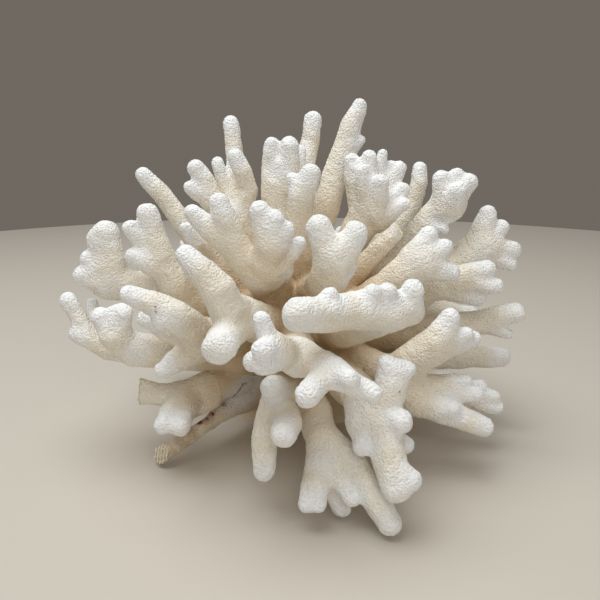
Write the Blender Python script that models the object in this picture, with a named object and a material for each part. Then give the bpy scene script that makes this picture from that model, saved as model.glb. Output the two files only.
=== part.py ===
"""A branching white coral skeleton, cut flat at the foot, as separate solids that meet at its main forks.

Run it with blender --background --python part.py, or from Blender's text editor. Metres, +Z up, +Y away
from the viewer. The origin is the middle of the foot's flat cut.

The coral is drawn as chains of round sections, chosen by hand. Each section is (x, y, z, radius) in
millimetres, measured from the floor under the middle of the colony.
"""
from math import cos, pi, sin, tau

import bmesh
import bpy
from mathutils import Vector

MM = 0.001
FOOT_CENTRE = Vector((0.0, 42.0, 0.0))

# How the solids are made, in millimetres.
SPLIT_GAP = 0.3
VOXEL = 1.25
RING_SIDES = 14
DOME_RINGS = 4
FORK_SMOOTHING = 5
SMOOTHING_STRENGTH = 0.5
SMOOTHING_LOSS = 0.9
KEPT_SHARE = 0.0185
TRUNK_KEPT_SHARE = 0.0075
CUTTER_SIDES = 16
CUTTER_MARGIN = 2.0
CUTTER_REACH = 5.0

BLEACHED = (0.86, 0.85, 0.81)
STAINED = (0.62, 0.52, 0.40)
CORAL_ROUGHNESS = 0.85

# The foot and the middle of the colony, where the boughs leave.
TRUNK_CHAINS = [
    [(-15, 42, -6, 26), (-14, 40, 12, 25), (-6, 30, 40, 25), (-4, 20, 60, 25), (-6, 12, 76, 19)],
    [(14, 44, -6, 26), (12, 42, 12, 24), (8, 34, 40, 25), (8, 24, 62, 26), (8, 18, 80, 19)],
    [(0, 58, 10, 16), (0, 52, 40, 18), (0, 40, 66, 18)],
    [(-8, 14, 52, 20), (-31, -5, 54, 12)],
    [(-12, 10, 66, 16), (-22, 0, 78, 10)],
    [(-8, 8, 74, 13), (-10, -7, 86, 6.4), (-10.5, -9, 93, 4.6)],
    [(-20, 24, 30, 18), (-33, 8, 27, 9.5)],
]

# Each limb: the root inside the trunk, then its chains. The first chain starts at the main fork, where the
# limb is split from the trunk.
LIMBS = {
    "left_upper_bough": {
        "root": (-18, 16, 74, 12),
        "chains": [
            [(-52, 8, 79, 9.3), (-62, 4, 82, 9.3), (-74, 3, 85, 9), (-86, 2, 88, 8.5), (-100, 0, 92, 9)],
            [(-100, 0, 92, 9), (-98, 0, 105, 8), (-99, 0, 117, 6.6)],
            [(-101, 0, 100, 8), (-104, 0, 114, 5.4)],
            [(-102, 0, 96, 7), (-109, -2, 104, 4)],
            [(-101, 0, 92, 8), (-112, -3, 96, 5)],
            [(-60, 2, 84, 8), (-65, -4, 92, 8), (-71, -5, 108, 6.8), (-76, -5, 128, 5.2)],
            [(-71, -5, 106, 6), (-79, -6, 112, 5), (-84, -8, 121, 4)],
            [(-65, -4, 96, 7), (-74, -8, 102, 5.8), (-83, -10, 107, 5)],
        ],
    },
    "left_tall_finger": {
        "root": (-22, 16, 78, 10),
        "chains": [
            [
                (-44, 13, 97, 7.5), (-53, 12, 109, 6.8), (-61, 12, 120, 6), (-69, 12, 131, 5.2),
                (-81, 12, 146, 4.2),
            ],
            [(-49, 10, 102, 5.5), (-53, 0, 111, 4), (-58, -2, 120, 3.3)],
        ],
    },
    "left_crown": {
        "root": (-12, 20, 84, 11),
        "chains": [
            [(-26, 22, 104, 8.5), (-33, 23, 118, 7.5), (-35, 24, 126, 6.5)],
            [(-35, 24, 126, 6.5), (-34, 29, 144, 5.6), (-36, 33, 159, 4.8), (-38, 36, 172, 4)],
            [(-32, 22, 122, 6.5), (-28, 22, 137, 5.6), (-30, 20, 147, 4.8), (-34, 20, 155, 4)],
            [(-35, 24, 124, 5.5), (-41, 25, 138, 4), (-44, 26, 151, 3.2)],
            [
                (-32, 20, 115, 6.5), (-42, 15, 126, 6), (-46, 14, 132, 5.8), (-50, 15, 142, 5.2),
                (-54, 15, 149, 4.6),
            ],
            [(-48, 14, 133, 4.5), (-57, 12, 139, 3.8)],
        ],
    },
    "middle_crown": {
        "root": (-4, 16, 80, 11),
        "chains": [
            [(-10, 15, 112, 7.8), (-11, 16, 118, 7.6)],
            [(-11, 16, 118, 7.4), (-15, 18, 134, 5.8), (-16, 20, 148, 4.7), (-15, 20, 161, 3.9)],
            [(-11, 16, 118, 7.4), (-8, 17, 129, 6.4), (-5, 18, 145, 5.6), (-5, 18, 160, 5)],
            [(-7, 18, 126, 5), (-1, 25, 142, 3.8), (0, 29, 158, 3)],
            [(-11, 17, 128, 6), (-10.5, 18, 150, 4.4)],
        ],
    },
    "middle_knob": {
        "root": (2, 12, 80, 11),
        "chains": [
            [(2, 1, 106, 8), (0, -2, 116, 7.2), (0, -4, 126, 6.6), (1, -6, 136, 6), (5, -6, 147, 5.2)],
            [(0, -4, 134, 5), (-4, -4, 145, 3.4)],
        ],
    },
    "back_crown": {
        "root": (6, 24, 82, 11),
        "chains": [
            [
                (10, 28, 110, 8), (11, 28, 117, 8), (15, 27, 131, 7.5), (22, 30, 152, 6.9),
                (28, 32, 171, 5.6), (32, 33, 180.5, 4),
            ],
            [(27, 31, 157, 4), (33, 30, 163, 2.8)],
            [(10, 29, 116, 6.8), (3, 36, 131, 6), (3, 38, 149, 5.4), (6, 42, 162, 5.2), (7, 44, 174, 4.7)],
        ],
    },
    "right_crown_paw": {
        "root": (10, 16, 80, 12),
        "chains": [
            [(26, 19, 106, 8.8), (32, 17, 118, 9.1), (38, 15, 128, 9)],
            [(33, 16, 126, 7), (28, 16, 142, 4.8), (27, 16, 153, 3.7)],
            [(37, 15, 130, 7), (36, 14, 144, 5.2), (36, 14, 154, 4.2)],
            [(35, 15, 130, 6), (31.5, 15, 149, 4.6)],
            [(35, 11, 130, 6), (32, 7, 148, 3.4)],
            [(39, 10, 127, 6.5), (41, 6, 142, 4.5)],
            [(40, 17, 134, 5.5), (42, 18, 146, 3.8), (43, 18, 156, 2.5)],
            [(43, 17, 130, 6.5), (48, 19, 142, 4.5), (48, 20, 150, 2.6)],
            [(43, 17, 130, 6.5), (49, 19, 141, 4.5), (53, 20, 149, 3.7)],
            [(42, 14, 126, 6), (54, 14, 138, 3.8)],
            [(42, 12, 122, 6), (54, 9, 131, 3.4)],
        ],
    },
    "right_rear_finger": {
        "root": (16, 30, 76, 11),
        "chains": [
            [
                (42, 40, 97, 7.5), (50, 44, 106, 6.8), (59, 47, 115, 6.2), (66, 50, 126, 5.6),
                (70, 52, 138, 5), (70.5, 54, 147, 4),
            ],
        ],
    },
    "right_broken_finger": {
        "root": (12, 12, 76, 11),
        "chains": [
            [(36, 3, 103, 5.4), (43, -1, 111.5, 4.7), (54, -4, 125, 3.6)],
        ],
    },
    "right_upper_paw": {
        "root": (20, 20, 72, 12),
        "chains": [
            [(50, 20, 96, 8.5), (60, 19, 109, 7.2), (70, 15, 124, 6.6), (78, 12, 134, 7)],
            [(76, 12, 128, 7), (73, 11, 144, 4.2)],
            [(80, 12, 132, 7), (81, 11, 146, 3.5)],
            [(80, 12, 133, 6.2), (87, 10, 142, 4.7)],
            [(79, 9, 130, 7), (80, 3, 138, 4.1)],
            [(68, 14, 119, 5), (75, 8, 118, 2.6)],
        ],
    },
    "right_inner_paw": {
        "root": (14, 2, 64, 12),
        "chains": [
            [(44, -8, 90, 8.8), (52, -11, 98, 9.2), (60, -13, 105, 9.2)],
            [(58, -12, 107, 8), (63, -11, 118, 4.6)],
            [(61, -13, 106, 8), (71, -13, 112, 4.2)],
            [(60, -13, 103, 8), (75, -15, 100, 4.6)],
        ],
    },
    "right_bough": {
        "root": (18, 18, 64, 12),
        "chains": [
            [(58, 13, 78, 9.2), (64, 13, 81, 9.2), (71, 15, 86, 8.6), (86, 16, 99, 9), (99, 15, 108, 9.3)],
            [(96, 15, 107, 8), (100, 15, 125, 4.9)],
            [(99, 15, 108, 8), (108, 15, 118, 4)],
            [(99, 15, 107, 8), (114, 14, 106, 5.3)],
            [(99, 14, 104, 7), (113, 11, 99, 3.5)],
            [(64, 10, 82, 8.2), (73, 2, 89, 6.6), (86, -1, 96, 5.6), (97, -1, 99, 4.7)],
            [(82, 0, 92, 5.6), (102, -3, 90, 4.2)],
            [(76, 3, 87, 6), (94, 2, 83, 5)],
        ],
    },
    "right_long_finger": {
        "root": (18, 20, 54, 11),
        "chains": [
            [(58, 12, 58, 8.2), (72, 11, 62, 7.8), (89, 10, 65, 7), (103, 9, 68, 6.5), (117, 9, 72, 6)],
            [(103, 9, 66, 6), (114, 7, 61, 3)],
        ],
    },
    "right_low_blade": {
        "root": (14, 28, 48, 12),
        "chains": [
            [(52, 24, 42, 8.2), (68, 23, 41, 7.5), (86, 23, 41, 7), (105, 25, 40, 6.5), (118, 25, 40, 5.5)],
        ],
    },
    "right_small_fork": {
        "root": (12, 16, 46, 11),
        "chains": [
            [(50, 2, 42, 7), (64, -2, 39, 6.6), (78, -6, 37, 6)],
            [(78, -6, 36, 6), (92, -9, 33, 5), (103, -10, 31, 3.8)],
            [(84, -8, 32, 5), (95, -10, 27.5, 4.4), (105, -10, 25, 3.8)],
            [(86, -8, 34, 4.6), (96, -9, 37, 3.4)],
        ],
    },
    "front_right_bough": {
        "root": (14, 4, 54, 12),
        "chains": [
            [(38, -17, 49, 10), (46, -23, 48, 9.6)],
            [(46, -23, 48, 9.6), (54, -27, 57, 8.8), (66, -30, 69, 8), (72, -30, 81, 5.1)],
            [(66, -30, 66, 6.5), (80, -30, 73, 3.4)],
            [(66, -29, 64, 6.5), (85, -26, 69, 3.8)],
            [(46, -24, 47, 9.4), (57, -30, 39, 8.4), (74, -34, 33.5, 6.4), (91, -36, 26.5, 4.8)],
            [(68, -33, 36, 6), (74, -38, 37, 4)],
            [(46, -24, 46, 9), (58, -27, 43, 8), (66, -28, 44, 6.8), (75, -29, 47, 5), (82, -29, 47.5, 4)],
            [(70, -29, 43, 5.6), (80, -30, 42, 4.6), (87, -31, 42.5, 3.8)],
        ],
    },
    "front_heart_fork": {
        "root": (4, 8, 78, 12),
        "chains": [
            [(10, -16, 92, 9), (12, -26, 97, 8.6), (14, -34, 104, 8.5), (16, -38, 114, 8.8)],
            [(15, -38, 112, 8), (8.5, -38, 125.5, 6)],
            [(17, -38, 112, 8), (25, -38, 123, 5.7)],
            [(15, -32, 98, 6), (22, -34, 107, 4.4)],
        ],
    },
    "front_hand": {
        "root": (8, 4, 68, 12),
        "chains": [
            [(21, -24, 74, 9.6), (28, -38, 81, 9.4), (34, -50, 88, 9), (38, -57, 93, 8.6)],
            [(38, -57, 93, 8.6), (21, -65, 95, 7.8), (9, -73, 96, 7.4), (0, -80, 98, 7)],
            [(12, -70, 97, 6), (12, -72, 104, 3.5)],
            [(28, -61, 95, 7), (30, -64, 102, 4.2)],
            [(36, -58, 94, 7), (37, -62, 102, 4)],
            [(38, -57, 93, 8.4), (47, -54, 92, 7.2), (48, -56, 101, 5)],
        ],
    },
    "front_crown": {
        "root": (-6, 12, 76, 12),
        "chains": [
            [(-18, -12, 96, 9.3), (-20, -17, 101, 9)],
            [(-21, -18, 101, 8.5), (-28, -22, 109, 7.4), (-32, -25, 119, 6.6), (-37, -26, 135.5, 5)],
            [(-33, -24, 115, 6), (-42, -25, 123, 5.2), (-49.5, -25, 130.5, 4.6)],
            [(-18, -17, 100, 8.8), (-16, -26, 108, 7.8), (-13, -30, 117, 7.4), (-18, -31, 132, 5)],
            [(-13, -30, 117, 7.4), (-12, -32, 128.5, 5)],
            [(-12, -30, 116, 7), (-6, -31, 124, 4)],
            [(-14, -24, 104, 6.5), (-6, -25, 109, 4.4), (0, -27, 117, 3)],
            [(-15, -15, 98, 6.5), (-8, -20, 103, 5.2)],
        ],
    },
    "front_left_bough": {
        "root": (-8, 2, 68, 12),
        "chains": [
            [(-19, -27, 77, 10), (-24, -38, 83, 9.6), (-27, -48, 87, 9.4)],
            [
                (-27, -48, 87, 9.2), (-31, -61, 95, 8.2), (-34, -64, 104, 7.4), (-40, -63, 111, 6.2),
                (-47, -62, 118, 4.4),
            ],
            [(-27, -48, 87, 9), (-31, -66, 85, 7.2), (-32, -80, 84.5, 7)],
        ],
    },
    "left_front_finger": {
        "root": (-14, 4, 60, 12),
        "chains": [
            [
                (-45, -22, 69, 9.8), (-50, -28, 72, 9.3), (-53, -35, 79, 8.2), (-57, -42, 87, 6.6),
                (-67, -45, 93, 5.6), (-76, -46, 97, 4.2),
            ],
            [(-55, -41, 84, 6), (-62, -46, 85, 4.8)],
            [(-50, -25, 70, 8.5), (-64, -26, 74, 6.6), (-73, -28, 80, 5)],
            [(-50, -29, 66, 8), (-60, -36, 61, 5.4), (-65, -39, 58, 3.8)],
        ],
    },
    "left_front_blade": {
        "root": (-16, 8, 54, 12),
        "chains": [
            [
                (-54, -12, 55, 8), (-70, -16, 57, 6.8), (-84, -20, 60, 7), (-91, -24, 71, 7.6),
                (-97, -25, 80, 5),
            ],
            [(-90, -25, 72, 7.2), (-86, -26, 82, 5)],
            [(-91, -25, 72, 7), (-91, -25.5, 81, 4.6)],
            [(-62, -14, 57, 7.4), (-74, -18, 61, 6.8), (-83, -21, 64, 6.4)],
            [
                (-72, -15, 57, 6), (-86, -11, 56, 5.4), (-100, -12, 58, 5.2), (-110, -12, 66, 5),
                (-114, -10, 76, 4.8), (-118, -10, 84, 4.2),
            ],
            [(-110, -12, 66, 4.6), (-115, -13, 67.5, 3.8)],
            [(-106, -8, 66, 4.2), (-111, 3, 79, 3)],
        ],
    },
    "left_low_fork": {
        "root": (-16, 20, 38, 12),
        "chains": [
            [
                (-46, -6, 35, 8.6), (-56, -11, 34, 7.6), (-68, -14, 33, 6.2), (-79, -15, 35, 5.4),
                (-92, -17, 36, 5.2),
            ],
            [
                (-50, -8, 40, 4.4), (-60, -12, 38.5, 2.8), (-71, -15, 37, 2), (-80, -16, 41, 2),
                (-92, -18, 46, 2),
            ],
            [(-48, -8, 29, 6), (-57, -12.5, 26.5, 6), (-63, -15, 26, 4.6)],
            [(-61, -16, 32, 7), (-65, -31, 31.5, 5.6), (-66, -40, 30.5, 4.9)],
            [(-58, -16, 32, 7), (-58, -31, 30.5, 5.4), (-58, -40, 29.5, 4.8)],
        ],
    },
    "left_broken_stub": {
        "root": (-20, 24, 24, 12),
        "chains": [
            [
                (-45, -4, 17.5, 4.6), (-53, -13, 14, 3.8), (-61, -20, 11.2, 3.8), (-68, -26, 8.6, 4.4),
                (-79, -35, 6, 5),
            ],
        ],
    },
    "front_tee": {
        "root": (-2, 0, 60, 12),
        "chains": [
            [(-2, -36, 67, 9), (-2, -50, 70, 8.4), (-1, -64, 74, 7.8)],
            [(-2, -64, 75, 7.4), (-8, -75, 81, 6.2), (-13, -79, 89, 4.6), (-15, -80, 96, 3.6)],
            [(-9, -75, 81, 5.6), (-14, -87, 86, 4.8)],
            [(-9, -75, 79, 5.6), (-14, -86, 80, 4.8)],
            [(-6, -66, 77, 6), (-19, -75, 77, 4.6)],
            [(-1, -64, 74, 7.6), (9, -74, 74, 6.6), (15, -80, 73, 5.6)],
            [(11, -77, 73, 6), (3, -91, 69, 4.9)],
            [(14, -79, 73, 5.4), (19, -87, 74, 3.9)],
            [(14, -79, 72, 5.4), (29, -86, 67, 3.8)],
        ],
    },
    "front_low_left_fork": {
        "root": (-4, 8, 46, 12),
        "chains": [
            [
                (-8, -38, 48, 7.8), (-9, -48, 49, 7.6), (-11, -56, 48, 7.2), (-16, -65, 37, 5.8),
                (-16, -68, 22, 4.9),
            ],
            [(-10, -54, 48, 7), (-5, -70, 46, 6.4), (-7, -81, 47, 5.5)],
            [(-9, -48, 51, 6.8), (-12, -61, 59, 5.3)],
        ],
    },
    "front_stem": {
        "root": (4, 10, 36, 12),
        "chains": [
            [(7, -38, 37, 8), (8.5, -48, 34, 7.8), (10, -58, 31, 7.4), (10.5, -68, 24, 6.8)],
            [(9, -68, 25, 6.6), (6, -76, 19, 5.6), (3, -81, 14, 3.8)],
            [(7, -76, 19, 5.4), (8, -81, 13.8, 3.8)],
            [(12, -66, 26, 6), (17, -73, 21, 4.7), (22, -79, 15.8, 3.9)],
            [(12, -66, 22, 5.6), (16, -69, 12, 4.8), (19, -71, 5.4, 4.2)],
            [(11, -57, 32, 7), (20, -66, 30, 6), (28, -76, 21, 5.7), (38, -84, 6.6, 5.4)],
        ],
    },
    "front_palm": {
        "root": (8, 6, 52, 12),
        "chains": [
            [(22, -34, 50, 9.4), (27, -48, 50, 9.2), (31, -60, 50, 9), (32, -68, 48, 9)],
            [(33, -66, 50, 8.6), (38, -68, 60, 7.4), (40, -68, 70, 5.2)],
            [(38, -68, 64, 6), (36, -68, 73, 3.8)],
            [(39, -68, 64, 6), (45, -68, 70, 3.8)],
            [(35, -68, 48, 8), (42, -76, 50, 5.2)],
            [(33, -68, 46, 8.4), (37, -78, 37, 7.6), (40, -85, 25.5, 6.6)],
            [(39, -83, 31, 5.6), (46, -86, 29, 3.9)],
            [(29, -58, 50, 8.6), (27, -68, 46, 7.4)],
            [(29, -69, 43, 6.4), (26, -77, 39, 3.8)],
            [(35, -70, 41, 6.6), (46, -68, 35, 4.1)],
        ],
    },
    "rear_upper_left_fork": {
        "root": (-14, 32, 78, 11),
        "chains": [
            [(-36, 54, 95, 8.5), (-43, 62, 101, 8)],
            [(-43, 62, 101, 7.6), (-54, 76, 112, 4.8)],
            [(-42, 63, 102, 7), (-37, 82, 115, 4.6)],
            [(-44, 61, 101, 7), (-62, 62, 109, 4.6)],
        ],
    },
    "rear_left_bough": {
        "root": (-18, 30, 66, 12),
        "chains": [
            [(-54, 44, 75, 9), (-66, 51, 79, 8.6)],
            [(-66, 51, 79, 8), (-80, 60, 90, 5.6), (-88, 64, 98, 4.8)],
            [(-66, 50, 78, 8), (-84, 50, 80, 5.8), (-98, 47, 82, 4.8)],
            [(-66, 53, 78, 8), (-78, 66, 79, 5.8), (-87, 78, 80, 4.8)],
            [(-62, 54, 80, 7), (-72, 72, 99, 4.6)],
        ],
    },
    "rear_low_left_bough": {
        "root": (-16, 44, 40, 13),
        "chains": [
            [(-48, 58, 39, 9), (-60, 64, 39, 8.4)],
            [(-60, 64, 39, 8), (-74, 70, 47, 5.8), (-86, 75, 54, 4.9)],
            [(-60, 64, 38, 8), (-74, 80, 35, 5.8), (-84, 90, 32, 4.9)],
            [(-58, 66, 40, 8), (-63, 84, 46, 5.6), (-66, 96, 52, 4.8)],
            [(-62, 62, 37, 7), (-80, 60, 31, 5.6), (-92, 58, 28, 4.7)],
        ],
    },
    "rear_crown": {
        "root": (2, 34, 80, 11),
        "chains": [
            [(1, 56, 100, 9), (2, 64, 106, 8.4)],
            [(0, 64, 106, 7.4), (-10, 78, 118, 5), (-14, 84, 125, 4.6)],
            [(2, 65, 106, 7.4), (6, 82, 118, 5.2), (8, 90, 126, 4.7)],
            [(4, 64, 106, 7), (20, 74, 120, 4.8)],
        ],
    },
    "rear_middle_bough": {
        "root": (0, 42, 62, 14),
        "chains": [
            [(0, 74, 70, 9.4), (0, 86, 73, 8.8)],
            [(-2, 86, 74, 8), (-14, 101, 82, 5.4), (-20, 110, 87, 4.8)],
            [(0, 88, 73, 8), (0, 104, 73, 5.8), (0, 119, 74, 5)],
            [(2, 86, 74, 8), (13, 101, 83, 5.6), (18, 109, 90, 4.8)],
            [(4, 86, 71, 7), (18, 98, 68, 5.4), (28, 106, 66, 4.8)],
        ],
    },
    "rear_upper_right_fork": {
        "root": (14, 34, 74, 11),
        "chains": [
            [(38, 58, 86, 8.6), (46, 65, 91, 8.2)],
            [(47, 65, 92, 7.6), (60, 74, 101, 5.2), (68, 78, 107, 4.7)],
            [(45, 67, 92, 7.4), (48, 80, 103, 5.2), (50, 86, 110, 4.6)],
            [(48, 64, 90, 7.2), (64, 64, 94, 5.2), (76, 63, 97, 4.7)],
        ],
    },
    "rear_left_centre_fork": {
        "root": (-10, 38, 70, 12),
        "chains": [
            [(-27, 68, 82, 8.6), (-34, 78, 87, 8.2)],
            [(-34, 78, 88, 7.4), (-46, 87, 97, 5.4), (-53, 92, 104, 4.7)],
            [(-33, 79, 88, 7.4), (-36, 94, 99, 5.4), (-37, 102, 106, 4.7)],
            [(-34, 79, 86, 7.4), (-44, 92, 82, 5.4), (-50, 102, 80, 4.7)],
        ],
    },
    "rear_right_centre_fork": {
        "root": (8, 40, 68, 12),
        "chains": [
            [(26, 71, 77, 8.6), (33, 80, 82, 8.2)],
            [(33, 80, 84, 7.4), (42, 93, 93, 5.4), (47, 100, 99, 4.7)],
            [(32, 81, 84, 7.4), (31, 97, 94, 5.4), (29, 105, 101, 4.7)],
            [(34, 80, 82, 7.4), (48, 90, 80, 5.4), (57, 96, 79, 4.7)],
        ],
    },
    "rear_right_bough": {
        "root": (20, 30, 60, 12),
        "chains": [
            [(56, 42, 65, 9), (68, 46, 65, 8.6)],
            [(68, 46, 66, 8), (86, 53, 72, 5.8), (100, 59, 78, 5)],
            [(70, 46, 64, 8), (90, 46, 62, 5.8), (104, 46, 60, 4.9)],
            [(68, 48, 64, 8), (82, 62, 62, 5.8), (92, 72, 60, 4.9)],
            [(66, 49, 67, 7), (76, 60, 78, 5), (80, 66, 86, 4.6)],
        ],
    },
    "rear_low_right_bough": {
        "root": (16, 46, 40, 13),
        "chains": [
            [(48, 62, 37, 9), (59, 68, 36, 8.4)],
            [(60, 68, 37, 8), (75, 75, 43, 5.6), (86, 80, 48, 4.8)],
            [(59, 69, 36, 8), (72, 85, 33, 5.8), (81, 95, 31, 4.9)],
            [(57, 70, 38, 7.6), (61, 88, 45, 5.4), (63, 99, 51, 4.7)],
            [(60, 66, 34, 7), (78, 66, 27, 5.6), (90, 65, 22, 4.8)],
        ],
    },
    "rear_low_bough": {
        "root": (0, 52, 32, 15),
        "chains": [
            [(0, 82, 32, 9.6), (0, 93, 32, 9)],
            [(-2, 93, 32, 8), (-13, 108, 38, 5.6), (-18, 116, 43, 4.9)],
            [(1, 95, 32, 8), (4, 112, 31, 6), (5, 124, 31, 5)],
            [(3, 92, 31, 8), (16, 105, 27, 5.6), (25, 114, 24, 4.9)],
        ],
    },
}

# Where a finger has broken off: a point of the broken face, and the way that face looks.
BROKEN_ENDS = {
    "left_low_fork": ((-83.5, -16, 37), (-1.0, -0.1, 0.1)),
    "left_broken_stub": ((-72, -29, 7), (-0.8, -0.6, 0.0)),
    "right_broken_finger": ((50, -3, 120), (0.8, -0.1, 0.6)),
}


def remove_everything():
    for item in list(bpy.data.objects):
        bpy.data.objects.remove(item, do_unlink=True)


def to_world(section):
    """The middle of a section, in metres from the middle of the foot's cut."""
    return (Vector(section[:3]) - FOOT_CENTRE) * MM


def bridge(bm, ring_a, ring_b):
    count = len(ring_a)
    for i in range(count):
        j = (i + 1) % count
        bm.faces.new((ring_a[i], ring_a[j], ring_b[j], ring_b[i]))


def add_chain(bm, chain):
    """A closed round-ended tube through the sections of one chain."""
    centres = [to_world(section) for section in chain]
    radii = [(section[3] + SMOOTHING_LOSS) * MM for section in chain]
    directions = []
    for i in range(len(centres)):
        before = centres[max(i - 1, 0)]
        after = centres[min(i + 1, len(centres) - 1)]
        directions.append((after - before).normalized())

    rows = []
    for k in range(1, DOME_RINGS):
        angle = 0.5 * pi * k / DOME_RINGS
        middle = centres[0] - directions[0] * radii[0] * cos(angle)
        rows.append((middle, radii[0] * sin(angle), directions[0]))
    for centre, radius, direction in zip(centres, radii, directions):
        rows.append((centre, radius, direction))
    for k in range(DOME_RINGS - 1, 0, -1):
        angle = 0.5 * pi * k / DOME_RINGS
        middle = centres[-1] + directions[-1] * radii[-1] * cos(angle)
        rows.append((middle, radii[-1] * sin(angle), directions[-1]))

    side = directions[0].orthogonal().normalized()
    rings = []
    for centre, radius, direction in rows:
        side = (side - direction * side.dot(direction)).normalized()
        up = direction.cross(side)
        ring = []
        for i in range(RING_SIDES):
            turn = tau * i / RING_SIDES
            ring.append(bm.verts.new(centre + (side * cos(turn) + up * sin(turn)) * radius))
        rings.append(ring)
    for ring_a, ring_b in zip(rings, rings[1:]):
        bridge(bm, ring_a, ring_b)
    first = bm.verts.new(centres[0] - directions[0] * radii[0])
    last = bm.verts.new(centres[-1] + directions[-1] * radii[-1])
    for i in range(RING_SIDES):
        j = (i + 1) % RING_SIDES
        bm.faces.new((first, rings[0][j], rings[0][i]))
        bm.faces.new((last, rings[-1][i], rings[-1][j]))


def chains_object(name, chains):
    bm = bmesh.new()
    for chain in chains:
        add_chain(bm, chain)
    mesh = bpy.data.meshes.new(name)
    bm.to_mesh(mesh)
    bm.free()
    result = bpy.data.objects.new(name, mesh)
    bpy.context.scene.collection.objects.link(result)
    return result


def add_growth_modifiers(item, kept_share):
    """Melts the overlapping tubes into one skin, softens its forks and keeps a share of its faces."""
    melt = item.modifiers.new("melt", "REMESH")
    melt.mode = "VOXEL"
    melt.voxel_size = VOXEL * MM
    soften = item.modifiers.new("soften", "SMOOTH")
    soften.factor = SMOOTHING_STRENGTH
    soften.iterations = FORK_SMOOTHING
    thin_out = item.modifiers.new("thin_out", "DECIMATE")
    thin_out.ratio = kept_share


def bake(item):
    """Replaces the object's mesh with its evaluated one."""
    graph = bpy.context.evaluated_depsgraph_get()
    mesh = bpy.data.meshes.new_from_object(item.evaluated_get(graph))
    item.modifiers.clear()
    item.data = mesh


def fork_plane(limb):
    """The middle and the direction of the flat face where a limb leaves its stub."""
    start, after = limb["chains"][0][:2]
    return to_world(start), (to_world(after) - to_world(start)).normalized()


def cut_flat(item, point, normal):
    """Removes what lies behind the plane and closes the opening with a flat face."""
    bm = bmesh.new()
    bm.from_mesh(item.data)
    geometry = bm.verts[:] + bm.edges[:] + bm.faces[:]
    bmesh.ops.bisect_plane(bm, geom=geometry, dist=1e-6, plane_co=point, plane_no=normal, clear_inner=True)
    rim = [edge for edge in bm.edges if edge.is_boundary]
    bmesh.ops.holes_fill(bm, edges=rim, sides=0)
    bmesh.ops.triangulate(bm, faces=bm.faces[:])
    bmesh.ops.recalc_face_normals(bm, faces=bm.faces[:])
    bm.to_mesh(item.data)
    bm.free()


def coral_material(name, colour):
    material = bpy.data.materials.new(name)
    material.use_nodes = True
    shader = material.node_tree.nodes["Principled BSDF"]
    shader.inputs["Base Color"].default_value = (*colour, 1.0)
    shader.inputs["Roughness"].default_value = CORAL_ROUGHNESS
    shader.inputs["Metallic"].default_value = 0.0
    material.diffuse_color = (*colour, 1.0)
    return material


def finish(item, colour):
    item.data.materials.clear()
    item.data.materials.append(coral_material(item.name + "_coral", colour))
    item.data.shade_smooth()


def make_limb(name, limb):
    chains = [list(chain) for chain in limb["chains"]]
    point, normal = fork_plane(limb)
    start = chains[0][0]
    behind = Vector(start[:3]) - normal * start[3]
    chains[0].insert(0, (behind.x, behind.y, behind.z, start[3]))
    item = chains_object(name, chains)
    add_growth_modifiers(item, KEPT_SHARE)
    bake(item)
    cut_flat(item, point + normal * SPLIT_GAP * MM, normal)
    if name in BROKEN_ENDS:
        broken, facing = BROKEN_ENDS[name]
        cut_flat(item, to_world(broken), -Vector(facing).normalized())
    finish(item, STAINED if name == "left_broken_stub" else BLEACHED)
    return item


def stub_cutter(name, limb):
    """A short drum in front of the fork plane, as wide as the limb that starts there."""
    point, normal = fork_plane(limb)
    radius = limb["chains"][0][0][3]
    width = (radius + CUTTER_MARGIN) * MM
    depth = (radius + CUTTER_REACH) * MM
    bpy.ops.mesh.primitive_cylinder_add(vertices=CUTTER_SIDES, radius=width, depth=depth)
    cutter = bpy.context.object
    cutter.name = name + "_cutter"
    cutter.location = point + normal * depth * 0.5
    cutter.rotation_euler = normal.to_track_quat("Z", "Y").to_euler()
    cutter.hide_render = True
    cutter.display_type = "WIRE"
    return cutter


def make_trunk():
    chains = [list(chain) for chain in TRUNK_CHAINS]
    for limb in LIMBS.values():
        start = limb["chains"][0][0]
        chains.append([limb["root"], start])
    trunk = chains_object("trunk", chains)
    add_growth_modifiers(trunk, TRUNK_KEPT_SHARE)
    bake(trunk)
    cut_flat(trunk, Vector((0.0, 0.0, 0.0)), Vector((0.0, 0.0, 1.0)))
    for name, limb in LIMBS.items():
        cutter = stub_cutter(name, limb)
        cut = trunk.modifiers.new(name, "BOOLEAN")
        cut.operation = "DIFFERENCE"
        cut.solver = "EXACT"
        cut.object = cutter
    finish(trunk, STAINED)
    return trunk


def main():
    remove_everything()
    make_trunk()
    for name, limb in LIMBS.items():
        make_limb(name, limb)


main()
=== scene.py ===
"""The dressed coral: one fused, granular skin for each limb and for the trunk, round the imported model.

Metres, +Z up, +Y away from the viewer. The origin is the middle of the foot's flat cut.
"""
import math

import bmesh
import bpy
import numpy as np
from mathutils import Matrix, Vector


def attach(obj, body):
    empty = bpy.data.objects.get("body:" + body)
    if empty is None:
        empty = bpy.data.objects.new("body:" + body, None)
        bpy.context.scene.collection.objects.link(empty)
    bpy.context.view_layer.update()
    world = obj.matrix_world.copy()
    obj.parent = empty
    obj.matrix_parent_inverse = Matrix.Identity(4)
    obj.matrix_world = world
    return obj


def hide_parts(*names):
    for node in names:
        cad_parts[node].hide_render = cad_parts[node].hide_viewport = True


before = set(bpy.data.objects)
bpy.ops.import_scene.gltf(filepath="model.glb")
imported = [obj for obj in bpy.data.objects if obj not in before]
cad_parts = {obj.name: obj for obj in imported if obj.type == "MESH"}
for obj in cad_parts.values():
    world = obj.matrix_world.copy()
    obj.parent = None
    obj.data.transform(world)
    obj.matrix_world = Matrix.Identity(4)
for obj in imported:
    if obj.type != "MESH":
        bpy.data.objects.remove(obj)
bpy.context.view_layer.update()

MM = 0.001
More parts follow.
